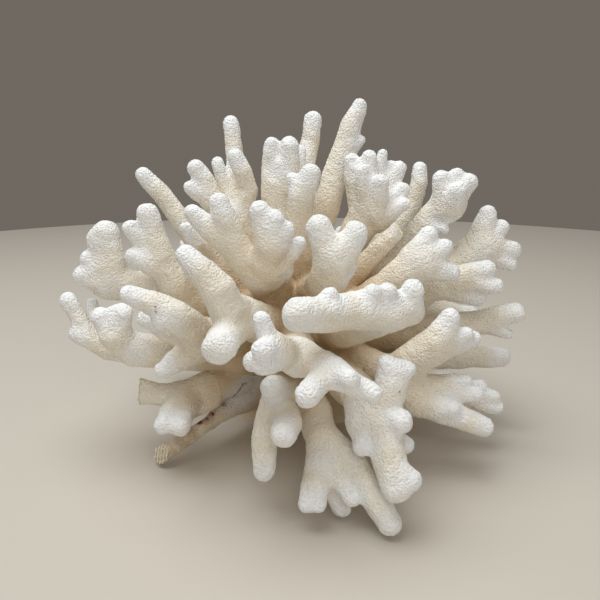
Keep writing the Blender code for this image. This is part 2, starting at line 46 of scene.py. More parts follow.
FOOT_CENTRE = np.array([0.0, 42.0, 0.0])

# The grid that the skin is drawn on, in millimetres. The small broken limbs are the finest.
LIMB_CELL = 0.72
REAR_CELL = 0.92
BROKEN_CELL = 0.50
TRUNK_CELL = 0.92

# How far neighbouring fingers melt together, in millimetres, and how full the crease between them gets.
FORK_MELT = 2.6
TRUNK_MELT = 6.0
MELT_FILL = 0.25

# Room round a shape on the grid, and how far a skin runs on past its fork plane before it is cut there.
MARGIN = 2.5
STUB_MARGIN = 5.5
OVERRUN = 1.6
# Chains that start this near to a stub's end, beyond its own radius, thicken the stub.
FORK_REACH = 8.0
# The distance of a grid point that no finger comes near.
FAR = 50.0
# The least squared length of a tube, so that a tube with no length divides by more than nothing.
SHORTEST = 1e-6

# The natural unevenness of the skin: (wavelength, height) in millimetres, and the ways the waves run.
LUMPS = ((17.0, 0.15), (6.7, 0.06))
LUMP_DIRECTIONS = ((0.9, 0.3, 0.3), (-0.3, 0.9, 0.3), (0.3, -0.3, 0.9), (0.6, 0.6, -0.5), (-0.6, 0.5, 0.6))
# A slower wave bends them: how far in radians, how much slower, and the way that it runs.
LUMP_BEND = 1.3
LUMP_SLOWER = 0.47
LUMP_BEND_DIRECTION = (0.6, -0.5, 0.6)
LUMP_PHASE = 5.0
# Only grid points this near to the skin, in cells and then in millimetres, are moved by the waves.
LUMP_BAND_CELLS = 3.0
LUMP_BAND = 1.5

# A broken face, in millimetres: its ribs, how they lean and which way they run, and its slower waves, whose
# rates are in radians a millimetre.
BREAK_RIB = 1.9
RIB_DEPTH = 0.42
RIB_LEAN = 0.12
RIB_UP = (0.0, 0.25, 1.0)
BREAK_ROUGHNESS = 0.2
ROUGH_UP = 1.9
ROUGH_ALONG = 0.8

# Sections are (x, y, z, radius) in millimetres from the floor under the middle of the colony, as in the
# part's source.
TRUNK_CHAINS = [
    [(-15, 42, -6, 26), (-14, 40, 12, 25), (-6, 30, 40, 25), (-4, 20, 60, 25), (-6, 12, 76, 19)],
    [(14, 44, -6, 26), (12, 42, 12, 24), (8, 34, 40, 25), (8, 24, 62, 26), (8, 18, 80, 19)],
    [(0, 58, 10, 16), (0, 52, 40, 18), (0, 40, 66, 18)],
    [(-8, 14, 52, 20), (-31, -5, 54, 12)],
    [(-12, 10, 66, 16), (-22, 0, 78, 10)],
    [(-8, 8, 74, 13), (-10, -7, 86, 6.4), (-10.5, -9, 93, 4.6)],
    [(-20, 24, 30, 18), (-33, 8, 27, 9.5)],
]

# Each limb: the root inside the trunk, then its chains. The first chain starts at the main fork, where the
# limb is split from the trunk.
LIMBS = {
    "left_upper_bough": {"root": (-18, 16, 74, 12), "chains": [
        [(-52, 8, 79, 9.3), (-62, 4, 82, 9.3), (-74, 3, 85, 9), (-86, 2, 88, 8.5), (-100, 0, 92, 9)],
        [(-100, 0, 92, 9), (-98, 0, 105, 8), (-99, 0, 117, 6.6)],
        [(-101, 0, 100, 8), (-104, 0, 114, 5.4)],
        [(-102, 0, 96, 7), (-109, -2, 104, 4)],
        [(-101, 0, 92, 8), (-112, -3, 96, 5)],
        [(-60, 2, 84, 8), (-65, -4, 92, 8), (-71, -5, 108, 6.8), (-76, -5, 128, 5.2)],
        [(-71, -5, 106, 6), (-79, -6, 112, 5), (-84, -8, 121, 4)],
        [(-65, -4, 96, 7), (-74, -8, 102, 5.8), (-83, -10, 107, 5)],
    ]},
    "left_tall_finger": {"root": (-22, 16, 78, 10), "chains": [
        [(-44, 13, 97, 7.5), (-53, 12, 109, 6.8), (-61, 12, 120, 6), (-69, 12, 131, 5.2),
         (-81, 12, 146, 4.2)],
        [(-49, 10, 102, 5.5), (-53, 0, 111, 4), (-58, -2, 120, 3.3)],
    ]},
    "left_crown": {"root": (-12, 20, 84, 11), "chains": [
        [(-26, 22, 104, 8.5), (-33, 23, 118, 7.5), (-35, 24, 126, 6.5)],
        [(-35, 24, 126, 6.5), (-34, 29, 144, 5.6), (-36, 33, 159, 4.8), (-38, 36, 172, 4)],
        [(-32, 22, 122, 6.5), (-28, 22, 137, 5.6), (-30, 20, 147, 4.8), (-34, 20, 155, 4)],
        [(-35, 24, 124, 5.5), (-41, 25, 138, 4), (-44, 26, 151, 3.2)],
        [(-32, 20, 115, 6.5), (-42, 15, 126, 6), (-46, 14, 132, 5.8), (-50, 15, 142, 5.2),
         (-54, 15, 149, 4.6)],
        [(-48, 14, 133, 4.5), (-57, 12, 139, 3.8)],
    ]},
    "middle_crown": {"root": (-4, 16, 80, 11), "chains": [
        [(-10, 15, 112, 7.8), (-11, 16, 118, 7.6)],
        [(-11, 16, 118, 7.4), (-15, 18, 134, 5.8), (-16, 20, 148, 4.7), (-15, 20, 161, 3.9)],
        [(-11, 16, 118, 7.4), (-8, 17, 129, 6.4), (-5, 18, 145, 5.6), (-5, 18, 160, 5)],
        [(-7, 18, 126, 5), (-1, 25, 142, 3.8), (0, 29, 158, 3)],
        [(-11, 17, 128, 6), (-10.5, 18, 150, 4.4)],
    ]},
    "middle_knob": {"root": (2, 12, 80, 11), "chains": [
        [(2, 1, 106, 8), (0, -2, 116, 7.2), (0, -4, 126, 6.6), (1, -6, 136, 6), (5, -6, 147, 5.2)],
        [(0, -4, 134, 5), (-4, -4, 145, 3.4)],
    ]},
    "back_crown": {"root": (6, 24, 82, 11), "chains": [
        [(10, 28, 110, 8), (11, 28, 117, 8), (15, 27, 131, 7.5), (22, 30, 152, 6.9), (28, 32, 171, 5.6),
         (32, 33, 180.5, 4)],
        [(27, 31, 157, 4), (33, 30, 163, 2.8)],
        [(10, 29, 116, 6.8), (3, 36, 131, 6), (3, 38, 149, 5.4), (6, 42, 162, 5.2), (7, 44, 174, 4.7)],
    ]},
    "right_crown_paw": {"root": (10, 16, 80, 12), "chains": [
        [(26, 19, 106, 8.8), (32, 17, 118, 9.1), (38, 15, 128, 9)],
        [(33, 16, 126, 7), (28, 16, 142, 4.8), (27, 16, 153, 3.7)],
        [(37, 15, 130, 7), (36, 14, 144, 5.2), (36, 14, 154, 4.2)],
        [(35, 15, 130, 6), (31.5, 15, 149, 4.6)],
        [(35, 11, 130, 6), (32, 7, 148, 3.4)],
        [(39, 10, 127, 6.5), (41, 6, 142, 4.5)],
        [(40, 17, 134, 5.5), (42, 18, 146, 3.8), (43, 18, 156, 2.5)],
        [(43, 17, 130, 6.5), (48, 19, 142, 4.5), (48, 20, 150, 2.6)],
        [(43, 17, 130, 6.5), (49, 19, 141, 4.5), (53, 20, 149, 3.7)],
        [(42, 14, 126, 6), (54, 14, 138, 3.8)],
        [(42, 12, 122, 6), (54, 9, 131, 3.4)],
    ]},
    "right_rear_finger": {"root": (16, 30, 76, 11), "chains": [
        [(42, 40, 97, 7.5), (50, 44, 106, 6.8), (59, 47, 115, 6.2), (66, 50, 126, 5.6), (70, 52, 138, 5),
         (70.5, 54, 147, 4)],
    ]},
    "right_broken_finger": {"root": (12, 12, 76, 11), "chains": [
        [(36, 3, 103, 5.4), (43, -1, 111.5, 4.7), (54, -4, 125, 3.6)],
    ]},
    "right_upper_paw": {"root": (20, 20, 72, 12), "chains": [
        [(50, 20, 96, 8.5), (60, 19, 109, 7.2), (70, 15, 124, 6.6), (78, 12, 134, 7)],
        [(76, 12, 128, 7), (73, 11, 144, 4.2)],
        [(80, 12, 132, 7), (81, 11, 146, 3.5)],
        [(80, 12, 133, 6.2), (87, 10, 142, 4.7)],
        [(79, 9, 130, 7), (80, 3, 138, 4.1)],
        [(68, 14, 119, 5), (75, 8, 118, 2.6)],
    ]},
    "right_inner_paw": {"root": (14, 2, 64, 12), "chains": [
        [(44, -8, 90, 8.8), (52, -11, 98, 9.2), (60, -13, 105, 9.2)],
        [(58, -12, 107, 8), (63, -11, 118, 4.6)],
        [(61, -13, 106, 8), (71, -13, 112, 4.2)],
        [(60, -13, 103, 8), (75, -15, 100, 4.6)],
    ]},
    "right_bough": {"root": (18, 18, 64, 12), "chains": [
        [(58, 13, 78, 9.2), (64, 13, 81, 9.2), (71, 15, 86, 8.6), (86, 16, 99, 9), (99, 15, 108, 9.3)],
        [(96, 15, 107, 8), (100, 15, 125, 4.9)],
        [(99, 15, 108, 8), (108, 15, 118, 4)],
        [(99, 15, 107, 8), (114, 14, 106, 5.3)],
        [(99, 14, 104, 7), (113, 11, 99, 3.5)],
        [(64, 10, 82, 8.2), (73, 2, 89, 6.6), (86, -1, 96, 5.6), (97, -1, 99, 4.7)],
        [(82, 0, 92, 5.6), (102, -3, 90, 4.2)],
        [(76, 3, 87, 6), (94, 2, 83, 5)],
    ]},
    "right_long_finger": {"root": (18, 20, 54, 11), "chains": [
        [(58, 12, 58, 8.2), (72, 11, 62, 7.8), (89, 10, 65, 7), (103, 9, 68, 6.5), (117, 9, 72, 6)],
        [(103, 9, 66, 6), (114, 7, 61, 3)],
    ]},
    "right_low_blade": {"root": (14, 28, 48, 12), "chains": [
        [(52, 24, 42, 8.2), (68, 23, 41, 7.5), (86, 23, 41, 7), (105, 25, 40, 6.5), (118, 25, 40, 5.5)],
    ]},
    "right_small_fork": {"root": (12, 16, 46, 11), "chains": [
        [(50, 2, 42, 7), (64, -2, 39, 6.6), (78, -6, 37, 6)],
        [(78, -6, 36, 6), (92, -9, 33, 5), (103, -10, 31, 3.8)],
        [(84, -8, 32, 5), (95, -10, 27.5, 4.4), (105, -10, 25, 3.8)],
        [(86, -8, 34, 4.6), (96, -9, 37, 3.4)],
    ]},
    "front_right_bough": {"root": (14, 4, 54, 12), "chains": [
        [(38, -17, 49, 10), (46, -23, 48, 9.6)],
        [(46, -23, 48, 9.6), (54, -27, 57, 8.8), (66, -30, 69, 8), (72, -30, 81, 5.1)],
        [(66, -30, 66, 6.5), (80, -30, 73, 3.4)],
        [(66, -29, 64, 6.5), (85, -26, 69, 3.8)],
        [(46, -24, 47, 9.4), (57, -30, 39, 8.4), (74, -34, 33.5, 6.4), (91, -36, 26.5, 4.8)],
        [(68, -33, 36, 6), (74, -38, 37, 4)],
        [(46, -24, 46, 9), (58, -27, 43, 8), (66, -28, 44, 6.8), (75, -29, 47, 5), (82, -29, 47.5, 4)],
        [(70, -29, 43, 5.6), (80, -30, 42, 4.6), (87, -31, 42.5, 3.8)],
    ]},
    "front_heart_fork": {"root": (4, 8, 78, 12), "chains": [
        [(10, -16, 92, 9), (12, -26, 97, 8.6), (14, -34, 104, 8.5), (16, -38, 114, 8.8)],
        [(15, -38, 112, 8), (8.5, -38, 125.5, 6)],
        [(17, -38, 112, 8), (25, -38, 123, 5.7)],
        [(15, -32, 98, 6), (22, -34, 107, 4.4)],
    ]},
    "front_hand": {"root": (8, 4, 68, 12), "chains": [
        [(21, -24, 74, 9.6), (28, -38, 81, 9.4), (34, -50, 88, 9), (38, -57, 93, 8.6)],
        [(38, -57, 93, 8.6), (21, -65, 95, 7.8), (9, -73, 96, 7.4), (0, -80, 98, 7)],
        [(12, -70, 97, 6), (12, -72, 104, 3.5)],
        [(28, -61, 95, 7), (30, -64, 102, 4.2)],
        [(36, -58, 94, 7), (37, -62, 102, 4)],
        [(38, -57, 93, 8.4), (47, -54, 92, 7.2), (48, -56, 101, 5)],
    ]},
    "front_crown": {"root": (-6, 12, 76, 12), "chains": [
        [(-18, -12, 96, 9.3), (-20, -17, 101, 9)],
        [(-21, -18, 101, 8.5), (-28, -22, 109, 7.4), (-32, -25, 119, 6.6), (-37, -26, 135.5, 5)],
        [(-33, -24, 115, 6), (-42, -25, 123, 5.2), (-49.5, -25, 130.5, 4.6)],
        [(-18, -17, 100, 8.8), (-16, -26, 108, 7.8), (-13, -30, 117, 7.4), (-18, -31, 132, 5)],
        [(-13, -30, 117, 7.4), (-12, -32, 128.5, 5)],
        [(-12, -30, 116, 7), (-6, -31, 124, 4)],
        [(-14, -24, 104, 6.5), (-6, -25, 109, 4.4), (0, -27, 117, 3)],
        [(-15, -15, 98, 6.5), (-8, -20, 103, 5.2)],
    ]},
    "front_left_bough": {"root": (-8, 2, 68, 12), "chains": [
        [(-19, -27, 77, 10), (-24, -38, 83, 9.6), (-27, -48, 87, 9.4)],
        [(-27, -48, 87, 9.2), (-31, -61, 95, 8.2), (-34, -64, 104, 7.4), (-40, -63, 111, 6.2),
         (-47, -62, 118, 4.4)],
        [(-27, -48, 87, 9), (-31, -66, 85, 7.2), (-32, -80, 84.5, 7)],
    ]},
    "left_front_finger": {"root": (-14, 4, 60, 12), "chains": [
        [(-45, -22, 69, 9.8), (-50, -28, 72, 9.3), (-53, -35, 79, 8.2), (-57, -42, 87, 6.6),
         (-67, -45, 93, 5.6), (-76, -46, 97, 4.2)],
        [(-55, -41, 84, 6), (-62, -46, 85, 4.8)],
        [(-50, -25, 70, 8.5), (-64, -26, 74, 6.6), (-73, -28, 80, 5)],
        [(-50, -29, 66, 8), (-60, -36, 61, 5.4), (-65, -39, 58, 3.8)],
    ]},
    "left_front_blade": {"root": (-16, 8, 54, 12), "chains": [
        [(-54, -12, 55, 8), (-70, -16, 57, 6.8), (-84, -20, 60, 7), (-91, -24, 71, 7.6), (-97, -25, 80, 5)],
        [(-90, -25, 72, 7.2), (-86, -26, 82, 5)],
        [(-91, -25, 72, 7), (-91, -25.5, 81, 4.6)],
        [(-62, -14, 57, 7.4), (-74, -18, 61, 6.8), (-83, -21, 64, 6.4)],
        [(-72, -15, 57, 6), (-86, -11, 56, 5.4), (-100, -12, 58, 5.2), (-110, -12, 66, 5),
         (-114, -10, 76, 4.8), (-118, -10, 84, 4.2)],
        [(-110, -12, 66, 4.6), (-115, -13, 67.5, 3.8)],
        [(-106, -8, 66, 4.2), (-111, 3, 79, 3)],
    ]},
    "left_low_fork": {"root": (-16, 20, 38, 12), "chains": [
        [(-46, -6, 35, 8.6), (-56, -11, 34, 7.6), (-68, -14, 33, 6.2), (-79, -15, 35, 5.4),
         (-92, -17, 36, 5.2)],
        [(-50, -8, 40, 4.4), (-60, -12, 38.5, 2.8), (-71, -15, 37, 2), (-80, -16, 41, 2), (-92, -18, 46, 2)],
        [(-48, -8, 29, 6), (-57, -12.5, 26.5, 6), (-63, -15, 26, 4.6)],
        [(-61, -16, 32, 7), (-65, -31, 31.5, 5.6), (-66, -40, 30.5, 4.9)],
        [(-58, -16, 32, 7), (-58, -31, 30.5, 5.4), (-58, -40, 29.5, 4.8)],
    ]},
    "left_broken_stub": {"root": (-20, 24, 24, 12), "chains": [
        [(-45, -4, 17.5, 4.6), (-53, -13, 14, 3.8), (-61, -20, 11.2, 3.8), (-68, -26, 8.6, 4.4),
         (-79, -35, 6, 5)],
    ]},
    "front_tee": {"root": (-2, 0, 60, 12), "chains": [
        [(-2, -36, 67, 9), (-2, -50, 70, 8.4), (-1, -64, 74, 7.8)],
        [(-2, -64, 75, 7.4), (-8, -75, 81, 6.2), (-13, -79, 89, 4.6), (-15, -80, 96, 3.6)],
        [(-9, -75, 81, 5.6), (-14, -87, 86, 4.8)],
        [(-9, -75, 79, 5.6), (-14, -86, 80, 4.8)],
        [(-6, -66, 77, 6), (-19, -75, 77, 4.6)],
        [(-1, -64, 74, 7.6), (9, -74, 74, 6.6), (15, -80, 73, 5.6)],
        [(11, -77, 73, 6), (3, -91, 69, 4.9)],
        [(14, -79, 73, 5.4), (19, -87, 74, 3.9)],
        [(14, -79, 72, 5.4), (29, -86, 67, 3.8)],
    ]},
    "front_low_left_fork": {"root": (-4, 8, 46, 12), "chains": [
        [(-8, -38, 48, 7.8), (-9, -48, 49, 7.6), (-11, -56, 48, 7.2), (-16, -65, 37, 5.8),
         (-16, -68, 22, 4.9)],
        [(-10, -54, 48, 7), (-5, -70, 46, 6.4), (-7, -81, 47, 5.5)],
        [(-9, -48, 51, 6.8), (-12, -61, 59, 5.3)],
    ]},
    "front_stem": {"root": (4, 10, 36, 12), "chains": [
        [(7, -38, 37, 8), (8.5, -48, 34, 7.8), (10, -58, 31, 7.4), (10.5, -68, 24, 6.8)],
        [(9, -68, 25, 6.6), (6, -76, 19, 5.6), (3, -81, 14, 3.8)],
        [(7, -76, 19, 5.4), (8, -81, 13.8, 3.8)],
        [(12, -66, 26, 6), (17, -73, 21, 4.7), (22, -79, 15.8, 3.9)],
        [(12, -66, 22, 5.6), (16, -69, 12, 4.8), (19, -71, 5.4, 4.2)],
        [(11, -57, 32, 7), (20, -66, 30, 6), (28, -76, 21, 5.7), (38, -84, 6.6, 5.4)],
    ]},
    "front_palm": {"root": (8, 6, 52, 12), "chains": [
        [(22, -34, 50, 9.4), (27, -48, 50, 9.2), (31, -60, 50, 9), (32, -68, 48, 9)],
        [(33, -66, 50, 8.6), (38, -68, 60, 7.4), (40, -68, 70, 5.2)],
        [(38, -68, 64, 6), (36, -68, 73, 3.8)],
        [(39, -68, 64, 6), (45, -68, 70, 3.8)],
        [(35, -68, 48, 8), (42, -76, 50, 5.2)],
        [(33, -68, 46, 8.4), (37, -78, 37, 7.6), (40, -85, 25.5, 6.6)],
        [(39, -83, 31, 5.6), (46, -86, 29, 3.9)],
        [(29, -58, 50, 8.6), (27, -68, 46, 7.4)],
        [(29, -69, 43, 6.4), (26, -77, 39, 3.8)],
        [(35, -70, 41, 6.6), (46, -68, 35, 4.1)],
    ]},
    "rear_upper_left_fork": {"root": (-14, 32, 78, 11), "chains": [
        [(-36, 54, 95, 8.5), (-43, 62, 101, 8)],
        [(-43, 62, 101, 7.6), (-54, 76, 112, 4.8)],
        [(-42, 63, 102, 7), (-37, 82, 115, 4.6)],
        [(-44, 61, 101, 7), (-62, 62, 109, 4.6)],
    ]},
    "rear_left_bough": {"root": (-18, 30, 66, 12), "chains": [
        [(-54, 44, 75, 9), (-66, 51, 79, 8.6)],
        [(-66, 51, 79, 8), (-80, 60, 90, 5.6), (-88, 64, 98, 4.8)],
        [(-66, 50, 78, 8), (-84, 50, 80, 5.8), (-98, 47, 82, 4.8)],
        [(-66, 53, 78, 8), (-78, 66, 79, 5.8), (-87, 78, 80, 4.8)],
        [(-62, 54, 80, 7), (-72, 72, 99, 4.6)],
    ]},
    "rear_low_left_bough": {"root": (-16, 44, 40, 13), "chains": [
        [(-48, 58, 39, 9), (-60, 64, 39, 8.4)],
        [(-60, 64, 39, 8), (-74, 70, 47, 5.8), (-86, 75, 54, 4.9)],
        [(-60, 64, 38, 8), (-74, 80, 35, 5.8), (-84, 90, 32, 4.9)],
        [(-58, 66, 40, 8), (-63, 84, 46, 5.6), (-66, 96, 52, 4.8)],
        [(-62, 62, 37, 7), (-80, 60, 31, 5.6), (-92, 58, 28, 4.7)],
    ]},
    "rear_crown": {"root": (2, 34, 80, 11), "chains": [
        [(1, 56, 100, 9), (2, 64, 106, 8.4)],
        [(0, 64, 106, 7.4), (-10, 78, 118, 5), (-14, 84, 125, 4.6)],
        [(2, 65, 106, 7.4), (6, 82, 118, 5.2), (8, 90, 126, 4.7)],
        [(4, 64, 106, 7), (20, 74, 120, 4.8)],
    ]},
    "rear_middle_bough": {"root": (0, 42, 62, 14), "chains": [
        [(0, 74, 70, 9.4), (0, 86, 73, 8.8)],
        [(-2, 86, 74, 8), (-14, 101, 82, 5.4), (-20, 110, 87, 4.8)],
        [(0, 88, 73, 8), (0, 104, 73, 5.8), (0, 119, 74, 5)],
        [(2, 86, 74, 8), (13, 101, 83, 5.6), (18, 109, 90, 4.8)],
        [(4, 86, 71, 7), (18, 98, 68, 5.4), (28, 106, 66, 4.8)],
    ]},
    "rear_upper_right_fork": {"root": (14, 34, 74, 11), "chains": [
        [(38, 58, 86, 8.6), (46, 65, 91, 8.2)],
        [(47, 65, 92, 7.6), (60, 74, 101, 5.2), (68, 78, 107, 4.7)],
        [(45, 67, 92, 7.4), (48, 80, 103, 5.2), (50, 86, 110, 4.6)],
        [(48, 64, 90, 7.2), (64, 64, 94, 5.2), (76, 63, 97, 4.7)],
    ]},
    "rear_left_centre_fork": {"root": (-10, 38, 70, 12), "chains": [
        [(-27, 68, 82, 8.6), (-34, 78, 87, 8.2)],
        [(-34, 78, 88, 7.4), (-46, 87, 97, 5.4), (-53, 92, 104, 4.7)],
        [(-33, 79, 88, 7.4), (-36, 94, 99, 5.4), (-37, 102, 106, 4.7)],
        [(-34, 79, 86, 7.4), (-44, 92, 82, 5.4), (-50, 102, 80, 4.7)],
    ]},
    "rear_right_centre_fork": {"root": (8, 40, 68, 12), "chains": [
        [(26, 71, 77, 8.6), (33, 80, 82, 8.2)],
        [(33, 80, 84, 7.4), (42, 93, 93, 5.4), (47, 100, 99, 4.7)],
        [(32, 81, 84, 7.4), (31, 97, 94, 5.4), (29, 105, 101, 4.7)],
        [(34, 80, 82, 7.4), (48, 90, 80, 5.4), (57, 96, 79, 4.7)],
    ]},
    "rear_right_bough": {"root": (20, 30, 60, 12), "chains": [
        [(56, 42, 65, 9), (68, 46, 65, 8.6)],
        [(68, 46, 66, 8), (86, 53, 72, 5.8), (100, 59, 78, 5)],
        [(70, 46, 64, 8), (90, 46, 62, 5.8), (104, 46, 60, 4.9)],
        [(68, 48, 64, 8), (82, 62, 62, 5.8), (92, 72, 60, 4.9)],
        [(66, 49, 67, 7), (76, 60, 78, 5), (80, 66, 86, 4.6)],
    ]},
    "rear_low_right_bough": {"root": (16, 46, 40, 13), "chains": [
        [(48, 62, 37, 9), (59, 68, 36, 8.4)],
        [(60, 68, 37, 8), (75, 75, 43, 5.6), (86, 80, 48, 4.8)],
        [(59, 69, 36, 8), (72, 85, 33, 5.8), (81, 95, 31, 4.9)],
        [(57, 70, 38, 7.6), (61, 88, 45, 5.4), (63, 99, 51, 4.7)],
        [(60, 66, 34, 7), (78, 66, 27, 5.6), (90, 65, 22, 4.8)],
    ]},
    "rear_low_bough": {"root": (0, 52, 32, 15), "chains": [
        [(0, 82, 32, 9.6), (0, 93, 32, 9)],
        [(-2, 93, 32, 8), (-13, 108, 38, 5.6), (-18, 116, 43, 4.9)],
        [(1, 95, 32, 8), (4, 112, 31, 6), (5, 124, 31, 5)],
        [(3, 92, 31, 8), (16, 105, 27, 5.6), (25, 114, 24, 4.9)],
    ]},
}

# Where a finger has broken off: a point of the broken face, and the way that face looks.
BROKEN_ENDS = {
    "left_low_fork": ((-83.5, -16, 37), (-1.0, -0.1, 0.1)),
    "left_broken_stub": ((-72, -29, 7), (-0.5, -0.8, 0.25)),
    "right_broken_finger": ((50, -3, 120), (0.8, -0.1, 0.6)),
}


def lumps_at(x, y, z):
    """Low waves in many directions, which keep the fingers from being perfect tubes."""
    total = 0.0
    for wavelength, height in LUMPS:
        k = 2.0 * math.pi / wavelength
        a, b, c = LUMP_BEND_DIRECTION
        bend = LUMP_BEND * np.sin(LUMP_SLOWER * k * (a * x + b * y + c * z))
        for a, b, c in LUMP_DIRECTIONS:
            total = total + height * np.sin(k * (a * x + b * y + c * z) + bend + LUMP_PHASE * (a + b))
    return total


class Field:
    """Signed distances in millimetres on a block of grid points: below zero is inside the coral."""

    def __init__(self, low, high, cell):
        self.cell = cell
        self.first = np.floor((np.asarray(low) - MARGIN) / cell).astype(int)
        last = np.ceil((np.asarray(high) + MARGIN) / cell).astype(int)
        self.count = last - self.first + 1
        self.value = np.full(self.count, FAR, dtype=np.float32)

    def window(self, low, high):
        """The part of the block between two corners: its slices, and its x, y and z."""
        start = np.maximum(np.floor(np.asarray(low) / self.cell).astype(int) - self.first, 0)
        stop = np.minimum(np.ceil(np.asarray(high) / self.cell).astype(int) - self.first + 1, self.count)
        slices = tuple(slice(int(a), int(b)) for a, b in zip(start, stop))
        axes = [((np.arange(s.start, s.stop) + self.first[i]) * self.cell).astype(np.float32)
                for i, s in enumerate(slices)]
        x, y, z = axes[0][:, None, None], axes[1][None, :, None], axes[2][None, None, :]
        return slices, x, y, z


def tube_distance(x, y, z, start, end):
    """Distance to the skin of a straight tapered tube with round ends."""
    ax, ay, az = (end[i] - start[i] for i in range(3))
    length_squared = max(ax * ax + ay * ay + az * az, SHORTEST)
    px, py, pz = x - start[0], y - start[1], z - start[2]
    t = np.clip((px * ax + py * ay + pz * az) / length_squared, 0.0, 1.0)
    dx, dy, dz = px - t * ax, py - t * ay, pz - t * az
    return np.sqrt(dx * dx + dy * dy + dz * dz) - (start[3] + t * (end[3] - start[3]))


def chain_distance(x, y, z, chain):
    """Distance to the nearest tube of a chain of sections."""
    result = None
    for start, end in zip(chain, chain[1:]):
        one = tube_distance(x, y, z, start, end)
        result = one if result is None else np.minimum(result, one)
    return result


def melt_together(a, b, width):
    """The nearer of two distances, with the crease between them filled."""
    h = np.maximum(width - np.abs(a - b), 0.0) / width
    return np.minimum(a, b) - h * h * width * MELT_FILL


def corners_of(chains):
    """The two corners of the box round the sections of some chains."""
    sections = np.array([section for chain in chains for section in chain], dtype=float)
    return (sections[:, :3] - sections[:, 3:]).min(0), (sections[:, :3] + sections[:, 3:]).max(0)


def add_chain(field, chain, width):
    """Melts a chain of sections into a field."""
    low, high = corners_of([chain])
    slices, x, y, z = field.window(low - width - MARGIN, high + width + MARGIN)
    here = field.value[slices]
    field.value[slices] = melt_together(here, chain_distance(x, y, z, chain), width)


def fork_of(limb):
    """The middle and the direction of the plane where a limb leaves its stub, in millimetres."""
    start, after = (np.array(section, dtype=float) for section in limb["chains"][0][:2])
    direction = after[:3] - start[:3]
    return start[:3], direction / np.linalg.norm(direction)


def plane_distance(x, y, z, point, normal):
    """How far points lie past a plane, along its normal."""
    return (x - point[0]) * normal[0] + (y - point[1]) * normal[1] + (z - point[2]) * normal[2]


def break_waves(name, x, y, z):
    """The ribs across a broken face, from -1 on a crest to 1 in a groove, and its slower roughness."""
    point, facing = BROKEN_ENDS[name]
    across = np.cross(facing, RIB_UP)
    across = across / np.linalg.norm(across)
    along = plane_distance(x, y, z, point, across)
    up = z - point[2]
    ribs = np.sin(2.0 * math.pi * (along + RIB_LEAN * up) / BREAK_RIB)
    return ribs, np.sin(ROUGH_UP * up + ROUGH_ALONG * along)


def broken_distance(name, x, y, z):
    """How far points lie beyond a broken face, with the ribs and the roughness of the break in it."""
    point, facing = BROKEN_ENDS[name]
    facing = np.array(facing) / np.linalg.norm(facing)
    ribs, roughness = break_waves(name, x, y, z)
    return plane_distance(x, y, z, point, facing) + RIB_DEPTH * ribs + BREAK_ROUGHNESS * roughness


def add_lumps(field):
    """Moves the skin of a field in and out by the natural unevenness."""
    slices, x, y, z = field.window(field.first * field.cell, (field.first + field.count) * field.cell)
    near = np.abs(field.value) < LUMP_BAND_CELLS * field.cell + LUMP_BAND
    waves = np.broadcast_to(lumps_at(x, y, z), field.value.shape)
    field.value[near] += waves[near].astype(np.float32)


def cell_of(name):
    """The limbs at the back are coarser than the seen ones, and the small broken ones are finer."""
    if name in ("left_broken_stub", "right_broken_finger"):
        return BROKEN_CELL
    return REAR_CELL if name.startswith("rear") else LIMB_CELL


def limb_field(name, limb):
    """A whole limb with a short overrun behind its fork plane."""
    start = limb["chains"][0][0]
    stub = [limb["root"], start]
    low, high = corners_of(limb["chains"])
    field = Field(low, high, cell_of(name))
    slices, x, y, z = field.window(low - MARGIN, high + MARGIN)
    stub_here = chain_distance(x, y, z, stub)
    first_here = chain_distance(x, y, z, limb["chains"][0])
    field.value[slices] = np.minimum(stub_here, first_here)
    for chain in limb["chains"][1:]:
        add_chain(field, chain, FORK_MELT)
    point, normal = fork_of(limb)
    behind = -plane_distance(x, y, z, point, normal) - OVERRUN
    field.value[slices] = np.maximum(field.value[slices], behind)
    add_lumps(field)
    if name in BROKEN_ENDS:
        beyond = broken_distance(name, x, y, z)
        field.value[slices] = np.maximum(field.value[slices], beyond)
    return field


def trunk_field():
    """The foot, the middle and every stub, each with a short overrun past its fork plane."""
    stubs = [[limb["root"], limb["chains"][0][0]] for limb in LIMBS.values()]
    low, high = corners_of(TRUNK_CHAINS + stubs)
    low[2] = -OVERRUN - MARGIN
    field = Field(low, high, TRUNK_CELL)
    for chain in TRUNK_CHAINS:
        add_chain(field, chain, TRUNK_MELT)
    for limb, stub in zip(LIMBS.values(), stubs):
        point, normal = fork_of(limb)
        reach = stub[1][3] + FORK_REACH
        near_low, near_high = corners_of([stub])
        slices, x, y, z = field.window(near_low - STUB_MARGIN, near_high + STUB_MARGIN)
        group = np.minimum(chain_distance(x, y, z, stub), chain_distance(x, y, z, limb["chains"][0][:3]))
        for chain in limb["chains"][1:]:
            if np.linalg.norm(np.array(chain[0][:3]) - point) < reach:
                group = melt_together(group, chain_distance(x, y, z, chain[:2]), FORK_MELT)
        group = np.maximum(group, plane_distance(x, y, z, point, normal) - OVERRUN)
        field.value[slices] = melt_together(field.value[slices], group, FORK_MELT)
    add_lumps(field)
    return field


